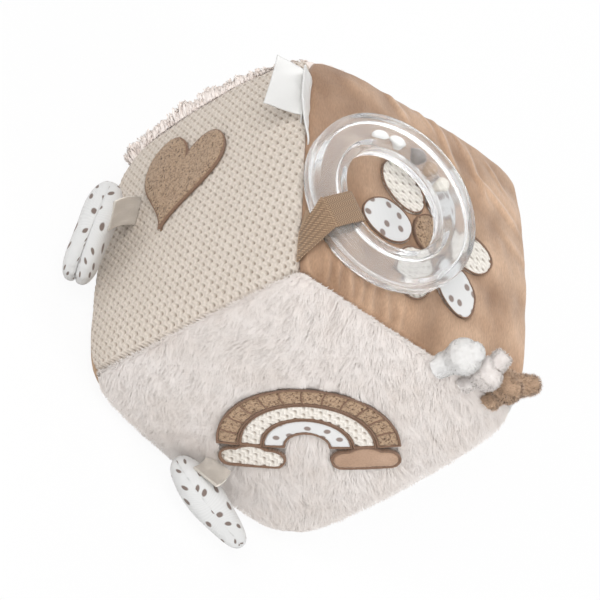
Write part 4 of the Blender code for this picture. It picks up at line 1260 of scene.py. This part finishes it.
def woven_band(name, centres, halves, thickness, along_count, across_count, relief, cup=0.0,
               width=TAPE_WIDTH):
    """A cloth band through its centres, each with its half width, and a raised weave."""
    both = smooth_line([[*centre, *half] for centre, half in zip(centres, halves)], along_count)
    run = np.concatenate([[0], np.cumsum(np.linalg.norm(np.diff(both[:, :3], axis=0), axis=1))])
    line, half = both[:, :3], both[:, 3:]
    share = np.linspace(-1, 1, across_count)
    ahead = np.gradient(line, axis=0)
    out = np.cross(ahead, half)
    out /= np.linalg.norm(out, axis=1, keepdims=True)
    place = line[:, None] + half[:, None] * share[None, :, None]
    u = np.broadcast_to(share[None, :] * width / 2, place.shape[:2])
    v = np.broadcast_to(run[:, None], place.shape[:2])
    height = relief(u, v) + cup * (share[None, :] ** 2)
    place = place + out[:, None] * height[..., None]
    mesh = bpy.data.meshes.new(name)
    index = np.arange(along_count * across_count).reshape(along_count, across_count)
    faces = np.stack([index[:-1, :-1], index[:-1, 1:], index[1:, 1:], index[1:, :-1]], axis=-1).reshape(-1, 4)
    mesh.from_pydata(place.reshape(-1, 3).tolist(), [], faces.tolist())
    keep_cloth_map(mesh, np.stack([u.ravel(), v.ravel()], axis=1))
    piece = placed(name, mesh)
    give_thickness(piece, thickness, 0)
    return piece


def on_seam(first, second, along, lift=0.0):
    """A place above the seam between two faces, at a distance along it."""
    place = [0.0, 0.0, 0.0]
    place[first[0]] = first[1] * HALF
    place[second[0]] = second[1] * HALF
    place[3 - first[0] - second[0]] = along
    del place[first[0]]
    return Vector(on_block(first, np.array([place[0]]), np.array([place[1]]), lift)[0])


HERRINGBONE_COLUMN, HERRINGBONE_PITCH, HERRINGBONE_SLOPE = 0.0030, 0.0014, 1.4


def herringbone(u, v):
    """Slanting ridges that turn back at each column of the weave."""
    column = np.abs(np.mod(u / HERRINGBONE_COLUMN + 0.5, 1.0) - 0.5) * 2
    return np.cos((v / HERRINGBONE_PITCH + column * HERRINGBONE_SLOPE) * math.tau) * 0.00013


tape_azimuth = math.radians(-141)
ring_normal = ring_turn @ Vector((0, 0, 1))
radial = ring_turn @ Vector((math.cos(tape_azimuth), math.sin(tape_azimuth), 0))
tangent = ring_normal.cross(radial)
skin = 0.0007
inner_reach = math.sqrt(SHELL_IN ** 2 - TAPE_HALF ** 2) - skin
top_skin, out_reach = SHELL_TOP + skin, SHELL_OUT + skin
tape_crown = (out_reach + inner_reach) / 2
path = quarter(out_reach - SHELL_ROUND, top_skin - SHELL_ROUND, SHELL_ROUND, 40, 90, 3)
path += [(tape_crown, top_skin + 0.0001)]
path += quarter(inner_reach + SHELL_ROUND, top_skin - SHELL_ROUND, SHELL_ROUND, 90, 180, 4)
path += quarter(inner_reach + SHELL_ROUND, SHELL_ROUND - top_skin, SHELL_ROUND, 180, 270, 4)
path += [(tape_crown, -top_skin)]
path += quarter(out_reach - SHELL_ROUND, SHELL_ROUND - top_skin, SHELL_ROUND, 270, 320, 3)
near, far = on_seam(TOP, LEFT, -0.0665, 0.0010), on_seam(TOP, LEFT, -0.0515, 0.0010)
sewn_in, apart, half_seam = (near + far) / 2, ring_normal * 0.0006, (near - far).normalized() * TAPE_HALF
inward = (Vector((0, 0, HALF)) - sewn_in).normalized() * 0.0030
centres, halves = [sewn_in + apart + inward, sewn_in + apart], [half_seam, half_seam]
for x, z in path:
    centres.append(ring_centre + radial * x + ring_normal * z)
    halves.append(tangent * TAPE_HALF)
centres += [sewn_in - apart, sewn_in - apart + inward]
halves += [half_seam, half_seam]
ring_band = woven_band("ring_band", centres, halves, 0.0008, 420, 46, herringbone)
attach(ring_band, "tape_loop")
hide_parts("ring_tape")


def woven_material(name, thread, groove_shade, column, pitch, slope, strength=0.7):
    """Twill weave on the cloth map: slanting ridges that turn back at each column, with painted shade in the
    grooves between them.
    """
    material, nodes, links, shader = new_material(name, 0.85, sheen=0.15)
    source = cloth_map(nodes)
    split = nodes.new("ShaderNodeSeparateXYZ")
    links.new(source, split.inputs[0])

    def number(operation, first, second=0.0):
        return plain_number(nodes, links, operation, first, second)

    columns = number("PINGPONG", number("DIVIDE", split.outputs[0], column / 2), 1.0)
    slant = number("ADD", number("DIVIDE", split.outputs[1], pitch), number("MULTIPLY", columns, slope))
    ridge = number("COSINE", number("MULTIPLY", slant, math.tau))
    share = number("ADD", number("MULTIPLY", ridge, 0.5), 0.5)
    fuzz = noise(nodes, links, source, 2500, 2.0)
    # Painted shade in the grooves between the ridges of the weave.
    colour = tones(nodes, links, share, ((0.0, groove_shade), (0.55, thread)))
    fine = tones(nodes, links, fuzz, ((0.3, (0.88, 0.88, 0.88)), (0.7, (1.05, 1.05, 1.05))))
    links.new(blended(nodes, links, "MULTIPLY", 1.0, colour, fine), shader.inputs["Base Color"])
    bumped(nodes, links, shader, number("ADD", ridge, fuzz), 0.00018, strength)
    return material


ring_band.data.materials.append(woven_material(
    "brown_herringbone", (0.52, 0.36, 0.235), (0.22, 0.135, 0.08),
    HERRINGBONE_COLUMN, HERRINGBONE_PITCH, HERRINGBONE_SLOPE, strength=0.9))


# Danglers
# Two stuffed leaves of the spotted jersey, each sewn shut round its rim and held by a
# doubled cream twill tape. The rim's seam sinks between the two plump sides.

def stuffed_leaf(name, centre, along, face_out, seed, notch, tip, sway, length=0.060, width=0.030,
                 depth=0.018):
    """A plump leaf whose two sides meet in a drawn-in seam, deepest round its tip."""
    along = along.normalized()
    face_out = (face_out - along * face_out.dot(along)).normalized()
    side = face_out.cross(along)
    around, rise = 104, 49
    angle = np.linspace(0, math.tau, around, endpoint=False)
    t = np.linspace(-math.pi / 2, math.pi / 2, rise)[:, None]
    toward_tip = smooth_step(np.cos(angle), -0.55, 0.9)
    lobe = min(0.03 + 3 * notch, 0.36) * (0.1 + 0.9 * toward_tip)
    rim_turn = 0.62
    rim = np.clip(np.abs(t) / rim_turn, 0, 1)
    dome = np.clip((np.abs(t) - rim_turn) / (math.pi / 2 - rim_turn), 0, 1)
    sunk = notch * toward_tip
    reach = np.where(dome > 0, np.cos(dome * math.pi / 2) ** 0.62, 1 - sunk * (1 - np.sin(rim * math.pi / 2)))
    low_side = lobe * (1 - np.cos(rim * math.pi / 2)) ** 1.35
    level = np.where(dome > 0, lobe + (1 - lobe) * np.sin(dome * math.pi / 2) ** 0.8, low_side)
    rng = np.random.default_rng(seed)
    pucker = np.cos(angle * 22 + rng.uniform(0, 6)) * 0.5 + np.cos(angle * 13 + rng.uniform(0, 6)) * 0.5
    reach = reach * (1 + 0.016 * pucker * np.exp(-((np.abs(t) - 0.4) / 0.35) ** 2))
    x = np.sign(np.cos(angle)) * np.abs(np.cos(angle)) ** 0.86 * length / 2 * reach
    share = x / length * 2
    taper = 1 - tip * smooth_step(share, -0.6, 1.1)
    y = np.sign(np.sin(angle)) * np.abs(np.sin(angle)) ** 0.86 * taper * width / 2 * reach + sway * share ** 2
    lumps = 1 + 0.05 * np.sin(3 * x / length * math.pi + seed)
    z = np.sign(t) * level * depth / 2 * lumps * (1 - 0.5 * tip * smooth_step(share, 0, 1.1))
    frame_axes = np.array([list(along), list(side), list(face_out)])
    points = np.array(list(centre)) + np.stack([x, y, z], axis=-1) @ frame_axes
    index = np.arange(rise * around).reshape(rise, around)
    rows = index[1:-1]
    faces = []
    for low, high in zip(rows, rows[1:]):
        faces += np.stack([low, np.roll(low, -1), np.roll(high, -1), high], axis=-1).tolist()
    vertices = points.reshape(-1, 3)
    for corner in range(around):
        after = (corner + 1) % around
        faces += [[int(rows[0][after]), int(rows[0][corner]), int(index[0][0])],
                  [int(rows[-1][corner]), int(rows[-1][after]), int(index[-1][0])]]
    mesh = bpy.data.meshes.new(name)
    mesh.from_pydata(vertices.tolist(), [], faces)
    slope = math.pi / 2 - np.abs(t)
    cloth_u = np.cos(angle) * length / 2 * slope / (math.pi / 2) * 1.25
    cloth_v = np.sin(angle) * width / 2 * slope / (math.pi / 2) * 1.45 + np.where(t > 0, 0.08, 0.0)
    flat = np.stack([cloth_u, cloth_v], axis=-1).reshape(-1, 2)
    keep_cloth_map(mesh, flat)
    piece = placed(name, mesh)
    bpy.ops.object.mode_set(mode="EDIT")
    bpy.ops.mesh.select_all(action="SELECT")
    bpy.ops.mesh.delete_loose()
    bpy.ops.object.mode_set(mode="OBJECT")
    face_outwards()
    return piece


def bent_band(start, bend, end, half, count=7):
    line = []
    for step in range(count):
        share = step / (count - 1)
        line.append(start.lerp(bend, share).lerp(bend.lerp(end, share), share))
    return line, [half] * count


def twill_ribs(u, v):
    return np.cos(u / 0.0012 * math.tau) * 0.00004


leaf_jersey = spotted_material("leaf_jersey", (0.70, 0.70, 0.695), (0.20, 0.155, 0.135),
                               spacing=0.0092, size=0.0030, stretch=(1.5, 1, 1))
cream_twill = woven_material("cream_twill", (0.96, 0.89, 0.80), (0.80, 0.72, 0.63),
                             column=0.0020, pitch=0.1, slope=100.0)

side_along = Vector((0.03, -0.92, -0.38)).normalized()
side_face = Vector((-0.79, 0.11, -0.60)).normalized()
side_centre = Vector((-0.0962, -0.0010, 0.0245))
side_leaf = stuffed_leaf("side_leaf", side_centre, side_along, side_face,
                         seed=4, notch=0.115, tip=0.06, sway=0.0, length=0.054)
front_along = Vector((0.950, -0.379, -0.056)).normalized()
front_face = Vector((0.25, 0.51, 0.82)).normalized()
front_centre = Vector((0.0054, -0.0998, 0.0155))
front_leaf = stuffed_leaf("front_leaf", front_centre + front_along * 0.0018, front_along, front_face,
                          seed=9, notch=0.0, tip=0.50, sway=-0.0012, length=0.056)
side_face = (side_face - side_along * side_face.dot(side_along)).normalized()
front_face = (front_face - front_along * front_face.dot(front_along)).normalized()

side_start = Vector(on_block(LEFT, np.array([0.0145]), np.array([-0.0405]), 0.0010)[0])
side_end = side_centre + picture_right * 0.0095 + picture_up * 0.0075 + sight * 0.0095
side_half = (picture_up * 0.92 + picture_right * 0.2 - sight * 0.25).normalized() * TAPE_HALF
side_bend = side_start + Vector((-TAPE_WIDTH / 4, 0, 0)) + (side_end - side_start) * 0.4
line, halves = bent_band(side_start, side_bend, side_end, side_half)
side_band = woven_band("side_band", line, halves, 0.0014, 60, 24, twill_ribs)
front_start = Vector(on_block(FRONT, np.array([0.0010]), np.array([-0.0515]), 0.0012)[0])
front_end = front_start - picture_right * 0.0062 - picture_up * 0.0052
near_end = [vertex.co for vertex in front_leaf.data.vertices
            if ((vertex.co - front_end).cross(sight)).length < 0.004]
front_end += sight * (max(corner.dot(sight) for corner in near_end) - front_end.dot(sight) + 0.0009)
front_half = (picture_right * 0.80 - picture_up * 0.60 + sight * 0.35).normalized() * TAPE_HALF
front_bend = front_start + Vector((0, -TAPE_WIDTH / 4, 0)) + (front_end - front_start) * 0.4
line, halves = bent_band(front_start, front_bend, front_end, front_half)
front_band = woven_band("front_band", line, halves, 0.0014, 60, 24, twill_ribs)
for piece, body, node, slot_name, cloth in (
        (side_leaf, "side_pendant", "side_dangler", "dotted_jersey", leaf_jersey),
        (side_band, "side_pendant", "side_tape", "cream_tape", cream_twill),
        (front_leaf, "front_pendant", "front_dangler", "dotted_jersey", leaf_jersey),
        (front_band, "front_pendant", "front_tape", "cream_tape", cream_twill)):
    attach(piece, body)
    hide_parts(node)
    piece.data.materials.append(cloth)


# Knotted tubes
# Three short stuffed tubes of plush in the seam between velour and fur, each tied in a knot.
# The white knot is round and hides its tube's end, the cream tube ends in an open mouth, and
# the brown one in a closed round tip.

def plush_tube(name, points, radii, wobble, seed, end, sections=110, sides=28):
    """A soft tube along a smooth line, its radius given at each of the line's points."""
    joined = np.hstack([np.array([list(point) for point in points]), np.array(radii)[:, None]])
    smooth = smooth_line(joined, sections)
    line, radius = smooth[:, :3], smooth[:, 3]
    ahead = np.gradient(line, axis=0)
    ahead /= np.linalg.norm(ahead, axis=1, keepdims=True)
    side = np.cross(ahead[0], (0.3, 0.2, 1.0))
    rows = []
    angles = np.linspace(0, math.tau, sides, endpoint=False)
    rng = np.random.default_rng(seed)
    phase = rng.uniform(0, math.tau, 4)
    for index in range(sections):
        side = side - ahead[index] * (side @ ahead[index])
        side /= np.linalg.norm(side)
        other = np.cross(ahead[index], side)
        lumps = sum(size * np.sin(angles * around + index * pitch + start) for (around, pitch, size), start
                    in zip(((3, 0.16, 0.5), (5, -0.27, 0.5), (2, 0.55, 0.35), (9, 0.31, 0.2)), phase))
        ring = side[None] * np.cos(angles)[:, None] + other[None] * np.sin(angles)[:, None]
        rows.append(line[index] + ring * (radius[index] * (1 + wobble * lumps))[:, None])
    for size, reach in end:
        rows.append(line[-1] + (rows[sections - 1] - line[-1]) * size + ahead[-1] * radius[-1] * reach)
    points = np.vstack(rows)
    index = np.arange(len(rows) * sides).reshape(len(rows), sides)
    faces = []
    for low, high in zip(index, index[1:]):
        faces += np.stack([low, np.roll(low, -1), np.roll(high, -1), high], axis=-1).tolist()
    faces += [index[0][::-1].tolist(), index[-1].tolist()]
    mesh = bpy.data.meshes.new(name)
    mesh.from_pydata(points.tolist(), [], faces)
    piece = placed(name, mesh)
    face_outwards()
    return piece


def short_nap(name, tube, count, length, seed, mixed):
    """Short hairs that stand out of a tube's cloth and lean along it."""
    rng = np.random.default_rng(seed)
    mesh = tube.data
    sides = [polygon for polygon in mesh.polygons if len(polygon.vertices) == 4]
    places = np.array([[mesh.vertices[corner].co for corner in polygon.vertices] for polygon in sides])
    normals = np.array([polygon.normal for polygon in sides])
    areas = np.array([polygon.area for polygon in sides])
    chosen = rng.choice(len(areas), count, p=areas / areas.sum())
    out = normals[chosen]
    drift = rng.normal(0, 1, (count, 3))
    drift -= out * (drift * out).sum(axis=1, keepdims=True)
    drift /= np.linalg.norm(drift, axis=1, keepdims=True)
    u, v = rng.uniform(0, 1, (2, count, 1))
    first_side = places[chosen, 0] * (1 - u) + places[chosen, 1] * u
    far_side = places[chosen, 3] * (1 - u) + places[chosen, 2] * u
    root = first_side * (1 - v) + far_side * v - out * 0.0001
    lean = np.roll(drift, 1, axis=0)
    lean -= out * (lean * out).sum(axis=1, keepdims=True)
    reach = (length * rng.uniform(0.5, 1.1, count))[:, None]
    wide = np.cross(lean, out) * 0.00013
    bend, tip = root + (out * 0.55 + lean * 0.25) * reach, root + (out * 0.80 + lean * 0.75) * reach
    points = np.stack([root - wide, root + wide, bend + wide * 0.8, bend - wide * 0.8, tip], axis=1)
    faces = []
    for first in range(0, count * 5, 5):
        faces += [(first, first + 1, first + 2, first + 3), (first + 3, first + 2, first + 4)]
    hairs = bpy.data.meshes.new(name)
    hairs.from_pydata(points.reshape(-1, 3).tolist(), [], faces)
    tone = hairs.attributes.new("tone", "FLOAT", "POINT")
    # Painted shade at each hair's root, paler towards its tip.
    value = np.tile([0.1, 0.1, 0.6, 0.6, 0.9], count) + np.repeat(rng.uniform(-mixed, mixed, count), 5)
    tone.data.foreach_set("value", value.astype(np.float32))
    hairs.shade_smooth()
    hairs.normals_split_custom_set_from_vertices(np.repeat(out, 5, axis=0).tolist())
    return placed(name, hairs)


def overhand(start, knot, tail, knot_radius, tube, turns, sway, thick):
    """Points and radii of a tube from its root, round itself in a knot, and out at its tail.

    With no turns the knot is a plain ball that hides the tail."""
    run = (knot - start).normalized()
    if not turns:
        points = [start - run * 0.004, start, start.lerp(knot, 0.30)]
        points += [knot + run * knot_radius * step for step in (-0.62, -0.2, 0.2, 0.55, 0.80)]
        ball = [knot_radius * share for share in (0.80, 1.0, 1.0, 0.86, 0.58)]
        return points, [tube, tube, tube * 1.02] + ball
    exit_way = (tail - knot).normalized()
    side = run.cross(sight).normalized()
    up_way = side.cross(run)
    points, radii = [start - run * 0.004, start, start.lerp(knot, 0.35)], [tube, tube, tube]
    for step in range(9):
        share = step / 8
        angle = math.tau * turns * share + 0.6
        middle = knot + run * knot_radius * (0.30 - 0.55 * share)
        points.append(middle + (side * math.cos(angle) + up_way * math.sin(angle)) * knot_radius * sway)
        radii.append(knot_radius * thick)
    points += [knot + exit_way * knot_radius * 0.75, knot.lerp(tail, 0.75), tail]
    radii += [tube * 1.05, tube, tube * 0.92]
    return points, radii


def plush_material(name, dark, light):
    material, nodes, links, shader = new_material(name, 0.95, sheen=0.5, sheen_roughness=0.35)
    source = object_map(nodes)
    soft = noise(nodes, links, source, 160, 3.0)
    nap = noise(nodes, links, source, 1800, 2.0)
    links.new(tones(nodes, links, soft, ((0.3, dark), (0.7, light))), shader.inputs["Base Color"])
    bumped(nodes, links, shader, nap, 0.0003, 0.7)
    return material


ROUND_END = ((0.86, 0.42), (0.55, 0.66), (0.25, 0.70), (0.10, 0.55))
OPEN_END = ((0.97, 0.12), (0.80, 0.20), (0.62, 0.12), (0.52, -0.50), (0.35, -0.60))


def knotted_tube(colour, along, knot_radius, tube_radius, lean, tail_way, tail_reach, winding,
                 wobble, end, nap_length, mixed, dark, light):
    """A plush tube sewn into the seam at along, with its knot, its nap and its materials."""
    root = on_seam(TOP, FRONT, along, 0.0006)
    knot = root + Vector(lean) * KNOT_REACH
    tail = knot + Vector(tail_way).normalized() * tail_reach
    points, radii = overhand(root, knot, tail, knot_radius, tube_radius, *winding)
    seed = int(along * 10000)
    tube = plush_tube(f"{colour}_knotted_tube", points, radii, wobble, seed, end)
    nap = short_nap(f"{colour}_nap", tube, NAP_COUNT, nap_length, seed, mixed)
    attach(tube, f"{colour}_tube")
    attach(nap, f"{colour}_tube")
    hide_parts(f"{colour}_knot")
    tube.data.materials.append(plush_material(f"{colour}_plush", dark, light))
    # The nap's hairs take the dark colour as painted shade at their roots and the light one at their tips.
    nap.data.materials.append(pile_material(f"{colour}_hairs", dark, light))


NAP_COUNT, KNOT_REACH = 12000, 0.0105
BALL, WOUND = (0, 0, 0), (1.25, 0.44, 0.58)
knotted_tube("white", along=0.0155, knot_radius=0.0084, tube_radius=0.0056,
             lean=(0.13, 0, 1.05), tail_way=(0.3, 0.9, -0.05), tail_reach=0.0070, winding=BALL,
             wobble=0.009, end=ROUND_END, nap_length=0.0009, mixed=0.10,
             dark=(0.86, 0.85, 0.835), light=(0.92, 0.91, 0.90))
knotted_tube("cream", along=0.0330, knot_radius=0.0074, tube_radius=0.0042,
             lean=(0.10, 0, 0.98), tail_way=(0.1, 0.6, 0.79), tail_reach=0.0115, winding=WOUND,
             wobble=0.05, end=OPEN_END, nap_length=0.0018, mixed=0.25,
             dark=(0.82, 0.765, 0.735), light=(0.95, 0.91, 0.885))
knotted_tube("brown", along=0.0515, knot_radius=0.0074, tube_radius=0.0045,
             lean=(-0.15, 0.1, 0.95), tail_way=(0.83, 0.35, 0.42), tail_reach=0.0135, winding=WOUND,
             wobble=0.045, end=ROUND_END, nap_length=0.0022, mixed=0.40,
             dark=(0.36, 0.24, 0.16), light=(0.66, 0.47, 0.33))


# Labels
# Two plain white satin labels sewn into the seam between velour and knit: a short one that
# folds over the knit, and a long looped one seen on its edge. Both are left blank.

def label_frame(middle, length, lift, aside):
    """The middle of a label's foot, half of the foot's length, and the way out."""
    near = on_seam(TOP, LEFT, middle - length / 2, lift)
    far = on_seam(TOP, LEFT, middle + length / 2, lift)
    half = (far - near) / 2
    out = Vector((-1, 0, 1))
    out = (out - half * out.dot(half) / half.length_squared).normalized()
    return (near + far) / 2 + half.cross(out).normalized() * aside, half, out


def satin_relief(u, v):
    return waves(u, v, 51, 0.012) * 0.00025


FLAP_LENGTH, STRIP_LENGTH = 0.0300, 0.0430
foot, half, out = label_frame(0.0345, FLAP_LENGTH, 0.0002, -0.0008)
bend, lean = foot + out * 0.0050, Vector((-0.97, -0.03, -0.31)).normalized()
line = [foot - out * 0.003, foot]
for step in range(5):
    share = step / 4
    line.append((foot + out * 0.0030).lerp(bend, share).lerp(bend.lerp(bend + lean * 0.0030, share), share))
line += [bend + lean * 0.009, bend + lean * 0.0150, bend + lean * 0.0185]
free_half = Vector((0.0004, 0.01455, 0.00265)) * (1 if half.y > 0 else -1)
halves = [half.lerp(free_half, share) for share in np.clip(np.linspace(-0.35, 1.0, len(line)), 0, 1)]
flap = woven_band("flap_satin", line, halves, 0.0007, 60, 40, satin_relief, cup=0.0016, width=FLAP_LENGTH)
foot, half, out = label_frame(0.0265, STRIP_LENGTH, 0.0002, 0.0008)
aside = Vector((-0.974, -0.04, 0.128)).normalized()
line, halves = [foot - out * 0.003, foot], [half, half]
for share, reach in ((0.93, out * 0.0028 + aside * 0.0016), (0.80, out * 0.0048 + aside * 0.0036),
                     (0.62, out * 0.0064 + aside * 0.0056)):
    line.append(foot + half * (1 - share) + reach)
    halves.append(half * share)
strip = woven_band("strip_satin", line, halves, 0.0008, 40, 60, satin_relief, cup=-0.0006, width=STRIP_LENGTH)
satin, nodes, links, shader = new_material("white_satin", 0.38, sheen=0.1)
shader.inputs["Specular IOR Level"].default_value = 0.5
shader.inputs["Anisotropic"].default_value = 0.5
fine = noise(nodes, links, cloth_map(nodes), 1200, 2.0, (1, 6, 1))
links.new(tones(nodes, links, fine, ((0.3, (0.70, 0.695, 0.68)), (0.7, (0.76, 0.755, 0.74)))),
          shader.inputs["Base Color"])
bumped(nodes, links, shader, fine, 0.00006, 0.4)
for piece, body, node in ((flap, "folded_label", "flap_label"), (strip, "long_label", "strip_label")):
    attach(piece, body)
    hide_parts(node)
    piece.data.materials.append(satin)
